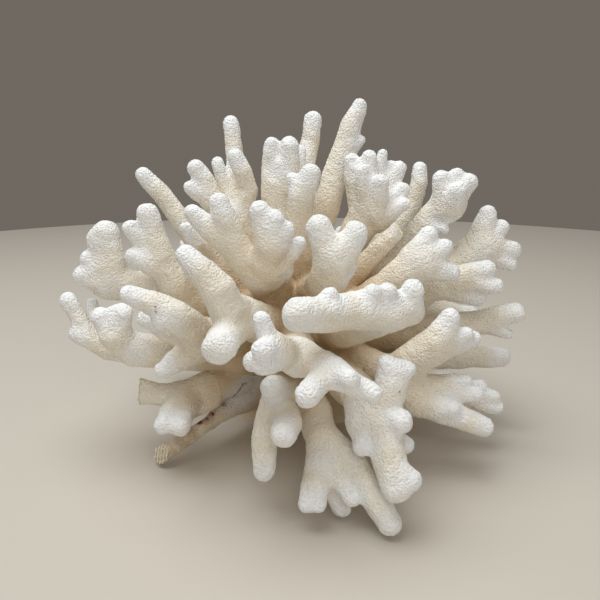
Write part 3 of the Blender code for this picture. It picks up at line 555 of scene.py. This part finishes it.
def skin_of(field):
    """Points in millimetres and four-sided faces on the zero level of a field."""
    value = field.value
    inside = value < 0.0
    nx, ny, nz = value.shape
    mixed_count = np.zeros((nx - 1, ny - 1, nz - 1), dtype=np.int8)
    steps = [(i, j, k) for i in (0, 1) for j in (0, 1) for k in (0, 1)]
    for i, j, k in steps:
        mixed_count += inside[i:nx - 1 + i, j:ny - 1 + j, k:nz - 1 + k]
    mixed = (mixed_count > 0) & (mixed_count < len(steps))
    cells = np.argwhere(mixed)
    number = np.full(mixed.shape, -1, dtype=np.int64)
    number[mixed] = np.arange(len(cells))
    corner = {s: value[cells[:, 0] + s[0], cells[:, 1] + s[1], cells[:, 2] + s[2]] for s in steps}
    total = np.zeros((len(cells), 3))
    hits = np.zeros(len(cells))
    for s in steps:
        for axis in range(3):
            if s[axis]:
                continue
            other = tuple(s[i] + (i == axis) for i in range(3))
            a, b = corner[s], corner[other]
            crossed = (a < 0) != (b < 0)
            t = np.where(crossed, a / np.where(crossed, a - b, 1.0), 0.0)
            place = np.tile(np.array(s, dtype=float), (len(cells), 1))
            place[:, axis] += t
            total += place * crossed[:, None]
            hits += crossed
    points = (cells + total / hits[:, None] + field.first) * field.cell

    faces = []
    for axis in range(3):
        u, v = (axis + 1) % 3, (axis + 2) % 3
        low = [slice(None)] * 3
        high = [slice(None)] * 3
        low[axis], high[axis] = slice(0, -1), slice(1, None)
        for side in (u, v):
            low[side] = high[side] = slice(1, -1)
        a, b = inside[tuple(low)], inside[tuple(high)]
        for flip in (False, True):
            where = np.argwhere((a & ~b) if not flip else (~a & b))
            where[:, u] += 1
            where[:, v] += 1
            ring = []
            for du, dv in ((-1, -1), (0, -1), (0, 0), (-1, 0)):
                cell = where.copy()
                cell[:, u] += du
                cell[:, v] += dv
                ring.append(number[cell[:, 0], cell[:, 1], cell[:, 2]])
            quads = np.stack(ring, axis=1)
            faces.append(quads[:, ::-1] if flip else quads)
    return points, np.concatenate(faces)


# The crack that bounds the fractured patch at the left of the foot, in millimetres.
FOOT_CRACK = (
    (-40.5, -3, 26.3), (-38.8, -3, 28.1), (-37.1, -4, 29.2), (-35.2, -5, 32.0), (-32.9, -6, 33.6),
    (-30.6, -7, 34.7), (-28.4, -8, 36.3), (-26.1, -9, 36.1), (-23.9, -10, 37.1),
)
CRACK_STEP = 0.8
CRACK_RADIUS = 0.7


def points_along(path, step):
    """Points on a broken line, no further apart than the step."""
    points = []
    for start, end in zip(path, path[1:]):
        count = math.ceil(math.dist(start, end) / step)
        for k in range(count):
            points.append(tuple(a + (b - a) * k / count for a, b in zip(start, end)))
    return points + [path[-1]]


# The marks that the photo shows: for each kind, the piece, and (x, y, z, radius) in millimetres.
MARKS = {
    "red": [("left_broken_stub", (-54, -14, 19, 1.9)), ("left_broken_stub", (-51, -12, 20, 1.7)),
            ("left_broken_stub", (-48, -9, 21, 1.6)), ("trunk", (-42, -4, 24, 1.3))],
    "black": [("front_left_bough", (-61, -55, 95, 0.6)), ("left_front_finger", (-63.8, -50, 92.2, 0.5)),
              ("left_front_finger", (-63.8, -50, 90.6, 0.5)),
              ("front_palm", (42, -76, 63, 0.55))],
    "brown": [("trunk", (-10, -13, 90, 8)), ("trunk", (-24, -8, 82, 9)), ("trunk", (-30, -10, 68, 8)),
              ("left_broken_stub", (-60, -21, 12, 8)), ("left_broken_stub", (-70, -29, 8, 8)),
              ("left_broken_stub", (-50, -10, 15, 7)), ("left_low_fork", (-58, -16, 22, 6))],
    "crack": [("trunk", (x, y, z, CRACK_RADIUS)) for x, y, z in points_along(FOOT_CRACK, CRACK_STEP)],
    # The grey break at the left of the foot: its own pale grey, made lighter still as painted light where it
    # faces up and to the left.
    "grey_break_and_painted_light": [("trunk", (-33, -1, 29, 12)), ("trunk", (-24, -6, 32, 10)), ("left_low_fork", (-46, -8, 24, 6))],
}

# The growing tips, whose new skeleton is the whitest.
TIPS = np.array([chain[-1][:3] for limb in LIMBS.values() for chain in limb["chains"]], dtype=float)
COLONY_HEART = np.array([0.0, 16.0, 58.0])

# Where each share fades between none and all of it. Tips, the deep stain and painted shade, and breaks are in
# millimetres, from a tip, from the heart and past the broken face. A mark's edge is in its radii, and a
# groove's painted shade in the rib wave.
TIP_FADE = (3.0, 14.0)
DEEP_STAIN_AND_SHADE_FADE = (30.0, 96.0)
BREAK_FADE = (-1.5, -0.7)
MARK_FADE = (0.6, 1.3)
GROOVE_SHADE_FADE = (-0.1, 0.6)


def smooth_step(low, high, value):
    """Rises smoothly from 0 at the low value to 1 at the high one."""
    t = np.clip((value - low) / (high - low), 0.0, 1.0)
    return t * t * (3.0 - 2.0 * t)


def tip_share(points):
    """One at the growing tips."""
    nearest = np.full(len(points), np.inf)
    for tip in TIPS:
        nearest = np.minimum(nearest, ((points - tip) ** 2).sum(1))
    return 1.0 - smooth_step(*TIP_FADE, np.sqrt(nearest))


def deep_stain_and_shade_share(points):
    """How deep in the colony a point lies: the old skeleton is stained there, and painted shade darkens the
    recesses deep inside.
    """
    return 1.0 - smooth_step(*DEEP_STAIN_AND_SHADE_FADE, np.linalg.norm(points - COLONY_HEART, axis=1))


def mark_share(kind, name, points):
    """One on the piece's marks of this kind, each moved to the nearest point of the skin."""
    share = np.zeros(len(points))
    low, high = MARK_FADE
    for piece, (x, y, z, radius) in MARKS[kind]:
        if piece != name:
            continue
        middle = points[np.argmin(np.linalg.norm(points - (x, y, z), axis=1))]
        away = np.linalg.norm(points - middle, axis=1)
        share = np.maximum(share, 1.0 - smooth_step(low * radius, high * radius, away))
    return share


def break_share(name, points):
    """One on a broken face and just behind it."""
    if name not in BROKEN_ENDS:
        return np.zeros(len(points))
    point, facing = BROKEN_ENDS[name]
    facing = np.array(facing) / np.linalg.norm(facing)
    return smooth_step(*BREAK_FADE, (points - point) @ facing)


def groove_shade_share(name, points):
    """One in the grooves of the ribbed break at the end of the brown stub, which are darkened with painted
    shade.
    """
    if name != "left_broken_stub":
        return np.zeros(len(points))
    ribs = break_waves(name, *points.T)[0]
    return break_share(name, points) * smooth_step(*GROOVE_SHADE_FADE, ribs)


def mesh_from(name, points, faces, shares):
    """A smooth mesh in metres, from points in millimetres and four-sided faces; each share is a layer."""
    mesh = bpy.data.meshes.new(name)
    mesh.vertices.add(len(points))
    mesh.vertices.foreach_set("co", ((points - FOOT_CENTRE) * MM).astype(np.float32).ravel())
    mesh.loops.add(faces.size)
    mesh.loops.foreach_set("vertex_index", faces.astype(np.int32).ravel())
    mesh.polygons.add(len(faces))
    mesh.polygons.foreach_set("loop_start", np.arange(0, faces.size, 4, dtype=np.int32))
    mesh.update(calc_edges=True)
    mesh.validate()
    for share_name, values in shares.items():
        layer = mesh.attributes.new(share_name, "FLOAT", "POINT")
        layer.data.foreach_set("value", values.astype(np.float32))
    mesh.shade_smooth()
    return mesh


def link(tree, a, b):
    tree.links.new(a, b)


def node(tree, kind, **settings):
    made = tree.nodes.new(kind)
    for key, value in settings.items():
        setattr(made, key, value)
    return made


def feed(tree, value, socket):
    """Sets a socket to a number, or links the output of another node to it."""
    if isinstance(value, (int, float)):
        socket.default_value = value
    else:
        link(tree, value, socket)


def math_node(tree, operation, *values, clamp=False):
    made = node(tree, "ShaderNodeMath", operation=operation, use_clamp=clamp)
    for socket, value in zip(made.inputs, values):
        feed(tree, value, socket)
    return made.outputs[0]


def noise(tree, place, scale, detail=2.0):
    """Soft noise in space, from 0 to 1."""
    made = node(tree, "ShaderNodeTexNoise", noise_dimensions="3D")
    link(tree, place, made.inputs["Vector"])
    feed(tree, scale, made.inputs["Scale"])
    made.inputs["Detail"].default_value = detail
    return made.outputs[0]


# The inputs of the grain, in metres, and the seed that moves its pattern.
GRAIN_INPUTS = (
    ("Grain spacing", 0.0013),
    ("Grain height", 0.00046),
    ("Patch size", 0.012),
    ("Ripple size", 0.0045),
    ("Ripple height", 0.00022),
)
GRAIN_SEED = 7
SEED_SHIFT = 0.137
GRAIN_SMOOTHNESS = 0.8
# The skin is level with its solid at this distance from the middle of a grain, in grain spacings.
GRAIN_LEVEL = 0.42
# Grains are higher in some patches: their height is scaled by the patch noise times the gain, plus the base.
PATCH_GAIN = 0.8
PATCH_BASE = 0.6
NOISE_MIDDLE = 0.5


def grain_tree():
    """Geometry Nodes that raise the coral's fine grain and its low ripples on a skin."""
    tree = bpy.data.node_groups.new("coral_grain", "GeometryNodeTree")
    interface = tree.interface
    interface.new_socket("Geometry", in_out="INPUT", socket_type="NodeSocketGeometry")
    for socket_name, value in GRAIN_INPUTS:
        socket = interface.new_socket(socket_name, in_out="INPUT", socket_type="NodeSocketFloat")
        socket.default_value = value
    socket = interface.new_socket("Seed", in_out="INPUT", socket_type="NodeSocketInt")
    socket.default_value = GRAIN_SEED
    interface.new_socket("Coral", in_out="INPUT", socket_type="NodeSocketMaterial")
    interface.new_socket("Geometry", in_out="OUTPUT", socket_type="NodeSocketGeometry")

    given = node(tree, "NodeGroupInput").outputs
    position = node(tree, "GeometryNodeInputPosition")
    normal = node(tree, "GeometryNodeInputNormal")
    shift = math_node(tree, "MULTIPLY", given["Seed"], SEED_SHIFT)
    moved = node(tree, "ShaderNodeVectorMath", operation="ADD")
    link(tree, position.outputs[0], moved.inputs[0])
    link(tree, shift, moved.inputs[1])
    place = moved.outputs[0]

    grains = node(tree, "ShaderNodeTexVoronoi", voronoi_dimensions="3D", feature="SMOOTH_F1")
    grains.inputs["Smoothness"].default_value = GRAIN_SMOOTHNESS
    link(tree, place, grains.inputs["Vector"])
    link(tree, math_node(tree, "DIVIDE", 1.0, given["Grain spacing"]), grains.inputs["Scale"])
    dome = math_node(tree, "SUBTRACT", GRAIN_LEVEL, grains.outputs["Distance"])
    patches = noise(tree, place, math_node(tree, "DIVIDE", 1.0, given["Patch size"]))
    strength = math_node(tree, "MULTIPLY_ADD", patches, PATCH_GAIN, PATCH_BASE)
    rise = math_node(tree, "MULTIPLY", math_node(tree, "MULTIPLY", dome, strength), given["Grain height"])

    ripples = noise(tree, place, math_node(tree, "DIVIDE", 1.0, given["Ripple size"]))
    centred = math_node(tree, "SUBTRACT", ripples, NOISE_MIDDLE)
    total = math_node(tree, "ADD", rise, math_node(tree, "MULTIPLY", centred, given["Ripple height"]))

    # The grain stops at a broken face.
    broken = node(tree, "GeometryNodeInputNamedAttribute", data_type="FLOAT")
    broken.inputs["Name"].default_value = "broken"
    whole = math_node(tree, "SUBTRACT", 1.0, broken.outputs["Attribute"])
    offset = node(tree, "ShaderNodeVectorMath", operation="SCALE")
    link(tree, normal.outputs[0], offset.inputs[0])
    link(tree, math_node(tree, "MULTIPLY", total, whole), offset.inputs["Scale"])
    raised = node(tree, "GeometryNodeSetPosition")
    link(tree, given["Geometry"], raised.inputs["Geometry"])
    link(tree, offset.outputs[0], raised.inputs["Offset"])
    realized = node(tree, "GeometryNodeRealizeInstances")
    link(tree, raised.outputs[0], realized.inputs[0])
    dressed = node(tree, "GeometryNodeSetMaterial")
    link(tree, given["Coral"], dressed.inputs["Material"])
    link(tree, realized.outputs[0], dressed.inputs["Geometry"])
    out = node(tree, "NodeGroupOutput")
    link(tree, dressed.outputs[0], out.inputs[0])
    return tree


def bake_grain(item, tree, material):
    """Runs the grain on a piece and keeps the result as its plain mesh."""
    modifier = item.modifiers.new("grain", "NODES")
    modifier.node_group = tree
    for socket in tree.interface.items_tree:
        if socket.name == "Coral":
            modifier[socket.identifier] = material
    graph = bpy.context.evaluated_depsgraph_get()
    mesh = bpy.data.meshes.new_from_object(item.evaluated_get(graph))
    item.modifiers.clear()
    item.data = mesh


# In metres: corners this near to a cut lie on it, and the foot's cut is looked for only below this height.
CUT_TOLERANCE = 1e-7
FOOT_BAND = 0.004


def drop_crumbs(bm):
    """Removes every loose island of faces but the largest."""
    unseen = set(bm.faces)
    islands = []
    while unseen:
        island = [unseen.pop()]
        for face in island:
            for edge in face.edges:
                for other in edge.link_faces:
                    if other in unseen:
                        unseen.remove(other)
                        island.append(other)
        islands.append(island)
    islands.sort(key=len)
    for island in islands[:-1]:
        bmesh.ops.delete(bm, geom=island, context="FACES")


def close_holes(bm):
    """Closes every open ring with a flat face that has a crisp rim."""
    rim = [edge for edge in bm.edges if edge.is_boundary]
    made = bmesh.ops.holes_fill(bm, edges=rim, sides=0)
    for edge in rim:
        edge.smooth = False
    bmesh.ops.triangulate(bm, faces=made["faces"])


def cut_and_cap(bm, faces, point, normal):
    """Removes what lies past the plane in some of the faces, and closes the hole with a flat face."""
    edges = dict.fromkeys(edge for face in faces for edge in face.edges)
    corners = dict.fromkeys(corner for face in faces for corner in face.verts)
    bmesh.ops.bisect_plane(bm, geom=[*corners, *edges, *faces], dist=CUT_TOLERANCE, plane_co=Vector(point),
                           plane_no=Vector(normal), clear_outer=True)
    close_holes(bm)


def cut_stubs(bm, beyond):
    """Cuts every stub at its fork plane; the layer says how far each corner lies past its own plane."""
    parted = [face for face in bm.faces if len({corner[beyond] > 0.0 for corner in face.verts}) == 2]
    bmesh.ops.triangulate(bm, faces=parted)
    crossing = [edge for edge in bm.edges if (edge.verts[0][beyond] > 0.0) != (edge.verts[1][beyond] > 0.0)]
    fresh = {}
    for edge in crossing:
        a, b = edge.verts
        corner = bmesh.utils.edge_split(edge, a, a[beyond] / (a[beyond] - b[beyond]))[1]
        corner[beyond] = 0.0
        fresh[corner] = edge
    for face in dict.fromkeys(face for corner in fresh for face in corner.link_faces):
        ends = [corner for corner in face.verts if corner in fresh]
        if len(ends) == 2:
            bmesh.utils.face_split(face, ends[0], ends[1])
    bmesh.ops.delete(bm, geom=[corner for corner in bm.verts if corner[beyond] > 0.0], context="VERTS")
    close_holes(bm)


def to_world(point):
    """A place in millimetres from the floor under the colony, in metres from the middle of the foot's cut."""
    return (np.asarray(point, dtype=float) - FOOT_CENTRE) * MM


# The matt surface; light scatters a little way into it.
CORAL_SURFACE = {
    "Roughness": 0.82,
    "Specular IOR Level": 0.32,
    "Subsurface Weight": 0.12,
    "Subsurface Radius": (1.0, 0.85, 0.65),
    "Subsurface Scale": 0.0025,
}

# The patterns in it, as repeats a metre: clouds mottle the colours, and flecks break up the marks.
CLOUD_SCALE = 55.0
CLOUD_DETAIL = 4.0
CLOUD_GAIN = 0.7
FLECK_SCALE = 420.0
FLECK_DETAIL = 3.0
FLECK_GAIN = 4.0
FLECK_LEVEL = 0.9

# The pores between the smallest grains, too fine for the mesh: repeats a metre, and a height in metres.
PAPILLA_SCALE = 1050.0
PAPILLA_SMOOTHNESS = 0.6
PAPILLA_HEIGHT = 0.0007

TIP_WHITE = (0.94, 0.945, 0.95, 1.0)
# The plain coral colours, from the outer limbs to the heart of the colony, and the stops on the deep share
# where they stand.
# Towards the heart they are darker and browner: partly the old skeleton's stain, partly painted shade.
COLOUR_STOPS = (0.05, 0.5, 1.0)
WHITE_CORAL_COLOURS = ((0.88, 0.82, 0.71, 1.0), (0.81, 0.71, 0.56, 1.0), (0.61, 0.46, 0.28, 1.0))
FOOT_CORAL_COLOURS = ((0.83, 0.75, 0.63, 1.0), (0.76, 0.65, 0.49, 1.0), (0.57, 0.41, 0.24, 1.0))

# What lies over the plain coral colours, from the widest mark up: the share, its colour, its strength and
# how much the flecks break it up.
MARK_COLOURS = (
    ("brown", (0.42, 0.29, 0.17, 1.0), 0.60, 0.5),
    # The grey break's own colour, lightened as painted light where it faces the light.
    ("grey_break_and_painted_light", (0.70, 0.68, 0.67, 1.0), 0.90, 0.5),
    ("broken", (0.78, 0.71, 0.56, 1.0), 0.95, 0.1),
    # The grooves of the ribbed break: painted shade.
    ("groove", (0.33, 0.25, 0.15, 1.0), 0.60, 0.2),
    ("crack", (0.20, 0.16, 0.13, 1.0), 0.90, 0.6),
    ("red", (0.24, 0.025, 0.02, 1.0), 1.0, 1.0),
    ("black", (0.03, 0.028, 0.028, 1.0), 1.1, 0.7),
)


def share_of(tree, share_name):
    return node(tree, "ShaderNodeAttribute", attribute_name=share_name).outputs["Fac"]


def lay_over(tree, under, colour, cover):
    """The colour under, with another colour over it as far as the cover says."""
    layered = node(tree, "ShaderNodeMix", data_type="RGBA")
    layered.inputs["B"].default_value = colour
    link(tree, cover, layered.inputs["Factor"])
    link(tree, under, layered.inputs["A"])
    return layered.outputs["Result"]


def coral_skeleton(name, colours):
    """Matt coral skeleton: white growing tips, cream limbs, and warm stains with painted shade deep in the
    colony.
    """
    material = bpy.data.materials.new(name)
    material.use_nodes = True
    tree = material.node_tree
    shader = tree.nodes["Principled BSDF"]
    for socket_name, value in CORAL_SURFACE.items():
        shader.inputs[socket_name].default_value = value

    place = node(tree, "ShaderNodeTexCoord").outputs["Object"]
    clouds = math_node(tree, "SUBTRACT", noise(tree, place, CLOUD_SCALE, CLOUD_DETAIL), NOISE_MIDDLE)
    # The deep share darkens and browns the heart of the colony: partly the old skeleton's stain, partly
    # painted shade.
    mottled = math_node(tree, "MULTIPLY_ADD", clouds, CLOUD_GAIN, share_of(tree, "deep_stain_and_shade"))
    flecks = math_node(tree, "SUBTRACT", noise(tree, place, FLECK_SCALE, FLECK_DETAIL), NOISE_MIDDLE)
    patchy = math_node(tree, "MULTIPLY_ADD", flecks, FLECK_GAIN, FLECK_LEVEL, clamp=True)

    body = node(tree, "ShaderNodeValToRGB")
    elements = body.color_ramp.elements
    elements.new(COLOUR_STOPS[1])
    for element, stop, colour in zip(elements, COLOUR_STOPS, colours):
        element.position = stop
        element.color = colour
    link(tree, mottled, body.inputs[0])

    coloured = lay_over(tree, body.outputs[0], TIP_WHITE, share_of(tree, "tip"))
    for share_name, colour, strength, breaking in MARK_COLOURS:
        cover = math_node(tree, "MULTIPLY_ADD", patchy, breaking * strength, (1.0 - breaking) * strength)
        broken_up = math_node(tree, "MULTIPLY", share_of(tree, share_name), cover, clamp=True)
        coloured = lay_over(tree, coloured, colour, broken_up)
    link(tree, coloured, shader.inputs["Base Color"])

    papillae = node(tree, "ShaderNodeTexVoronoi", feature="SMOOTH_F1")
    papillae.inputs["Scale"].default_value = PAPILLA_SCALE
    papillae.inputs["Smoothness"].default_value = PAPILLA_SMOOTHNESS
    link(tree, place, papillae.inputs["Vector"])
    bump = node(tree, "ShaderNodeBump", invert=True)
    bump.inputs["Strength"].default_value = 1.0
    bump.inputs["Distance"].default_value = PAPILLA_HEIGHT
    link(tree, papillae.outputs["Distance"], bump.inputs["Height"])
    link(tree, bump.outputs[0], shader.inputs["Normal"])
    return material


def make_piece(name, field):
    """The skin of a field as an object with its shares, and its points in millimetres."""
    points, faces = skin_of(field)
    shares = {
        "tip": tip_share(points),
        # Deep in the colony: the old skeleton's stain and painted shade.
        "deep_stain_and_shade": deep_stain_and_shade_share(points),
        "broken": break_share(name, points),
        # Painted shade in the grooves of the stub's break.
        "groove": groove_shade_share(name, points),
    }
    for kind in MARKS:
        shares[kind] = mark_share(kind, name, points)
    mesh = mesh_from(name, points, faces, shares)
    item = bpy.data.objects.new(name + "_skin", mesh)
    bpy.context.scene.collection.objects.link(item)
    return item, points


def make_limb(name, limb, tree, slot_name):
    item = make_piece(name, limb_field(name, limb))[0]
    bake_grain(item, tree, CORALS[slot_name])
    point, normal = fork_of(limb)
    bm = bmesh.new()
    bm.from_mesh(item.data)
    cut_and_cap(bm, bm.faces[:], to_world(point), -normal)
    drop_crumbs(bm)
    bm.to_mesh(item.data)
    bm.free()
    declare(item, name)


def make_trunk(tree):
    """The trunk; each of its points is cut at the fork plane of the limb that it is nearest to."""
    item, points = make_piece("trunk", trunk_field())
    # How far each point lies past its fork plane: before it, unless a limb is near.
    past = np.full(len(points), -1.0)
    best = np.full(len(points), FAR)
    x, y, z = points.T
    for limb in LIMBS.values():
        distance = chain_distance(x, y, z, [limb["root"], limb["chains"][0][0], limb["chains"][0][1]])
        closer = distance < best
        best[closer] = distance[closer]
        point, normal = fork_of(limb)
        past[closer] = plane_distance(x, y, z, point, normal)[closer]
    bake_grain(item, tree, CORALS["foot_coral"])
    bm = bmesh.new()
    bm.from_mesh(item.data)
    beyond = bm.verts.layers.float.new("beyond")
    for corner, distance in zip(bm.verts, past.tolist()):
        corner[beyond] = distance
    foot = [face for face in bm.faces if face.calc_center_median().z < FOOT_BAND]
    cut_and_cap(bm, foot, (0.0, 0.0, 0.0), (0.0, 0.0, -1.0))
    cut_stubs(bm, beyond)
    drop_crumbs(bm)
    bm.verts.layers.float.remove(beyond)
    bm.to_mesh(item.data)
    bm.free()
    declare(item, "trunk")


def declare(item, name):
    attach(item, "root")
    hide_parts(name)


FLOOR_RADIUS = 0.9
FLOOR_SIDES = 128
FLOOR_COLOUR = (0.60, 0.55, 0.48, 1.0)
FLOOR_ROUGHNESS = 0.7


def add_floor():
    bpy.ops.mesh.primitive_circle_add(vertices=FLOOR_SIDES, radius=FLOOR_RADIUS, fill_type="NGON",
                                      location=(0.0, 0.0, 0.0))
    floor = bpy.context.object
    floor.name = "floor"
    material = bpy.data.materials.new("pale_floor")
    material.use_nodes = True
    shader = material.node_tree.nodes["Principled BSDF"]
    shader.inputs["Base Color"].default_value = FLOOR_COLOUR
    shader.inputs["Roughness"].default_value = FLOOR_ROUGHNESS
    floor.data.materials.append(material)


# The lights, in metres and watts: the name, place, width, power and colour, and what they face.
LIGHTS = (
    ("sky_panel", (-0.20, -0.10, 1.1), 1.0, 10.8, (0.94, 0.98, 1.0)),
    ("front_fill", (0.20, -0.95, 0.50), 0.8, 2.3, (1.0, 0.97, 0.93)),
)
LIGHT_TARGET = (0.0, -0.02, 0.07)
# The room: the colour and strength that the camera sees, and those that light the coral.
ROOM_SEEN = ((0.16, 0.14, 0.12, 1.0), 1.0)
ROOM_LIGHT = ((1.0, 0.94, 0.85, 1.0), 0.23)


def add_light(name, place, size, power, colour):
    data = bpy.data.lights.new(name, "AREA")
    data.shape = "DISK"
    data.size = size
    data.energy = power
    data.color = colour
    lamp = bpy.data.objects.new(name, data)
    lamp.location = place
    lamp.rotation_euler = (Vector(LIGHT_TARGET) - Vector(place)).to_track_quat("-Z", "Y").to_euler()
    bpy.context.scene.collection.objects.link(lamp)


def background(tree, colour, strength):
    made = node(tree, "ShaderNodeBackground")
    made.inputs["Color"].default_value = colour
    made.inputs["Strength"].default_value = strength
    return made.outputs[0]


def add_lights():
    for light in LIGHTS:
        add_light(*light)
    world = bpy.data.worlds.new("room")
    bpy.context.scene.world = world
    world.use_nodes = True
    tree = world.node_tree
    tree.nodes.clear()
    path = node(tree, "ShaderNodeLightPath")
    mix = node(tree, "ShaderNodeMixShader")
    link(tree, path.outputs["Is Camera Ray"], mix.inputs[0])
    link(tree, background(tree, *ROOM_LIGHT), mix.inputs[1])
    link(tree, background(tree, *ROOM_SEEN), mix.inputs[2])
    out = node(tree, "ShaderNodeOutputWorld")
    link(tree, mix.outputs[0], out.inputs[0])


# The camera of the photograph: its place in millimetres in the colony's frame, tilt and lens.
CAMERA_PLACE = (0.0, -300.0, 165.0)
CAMERA_DOWN = math.radians(15.5)
CAMERA_LENS = 35.4
CAMERA_SENSOR = 36.0
# The nearest that it sees, in metres.
CAMERA_NEAR = 0.01


def add_camera():
    data = bpy.data.cameras.new("camera")
    data.lens = CAMERA_LENS
    data.sensor_width = CAMERA_SENSOR
    data.clip_start = CAMERA_NEAR
    camera = bpy.data.objects.new("camera", data)
    camera.location = to_world(CAMERA_PLACE)
    camera.rotation_euler = (math.pi / 2.0 - CAMERA_DOWN, 0.0, 0.0)
    bpy.context.scene.collection.objects.link(camera)
    bpy.context.scene.camera = camera


add_camera()
add_lights()
add_floor()
CORALS = {
    "white_coral": coral_skeleton("white_coral_skeleton", WHITE_CORAL_COLOURS),
    "foot_coral": coral_skeleton("foot_coral_skeleton", FOOT_CORAL_COLOURS),
}
grain = grain_tree()
for limb_name, limb_form in LIMBS.items():
    make_limb(limb_name, limb_form, grain, "foot_coral" if limb_name == "left_broken_stub" else "white_coral")
make_trunk(grain)
bpy.context.scene.view_settings.view_transform = "Standard"
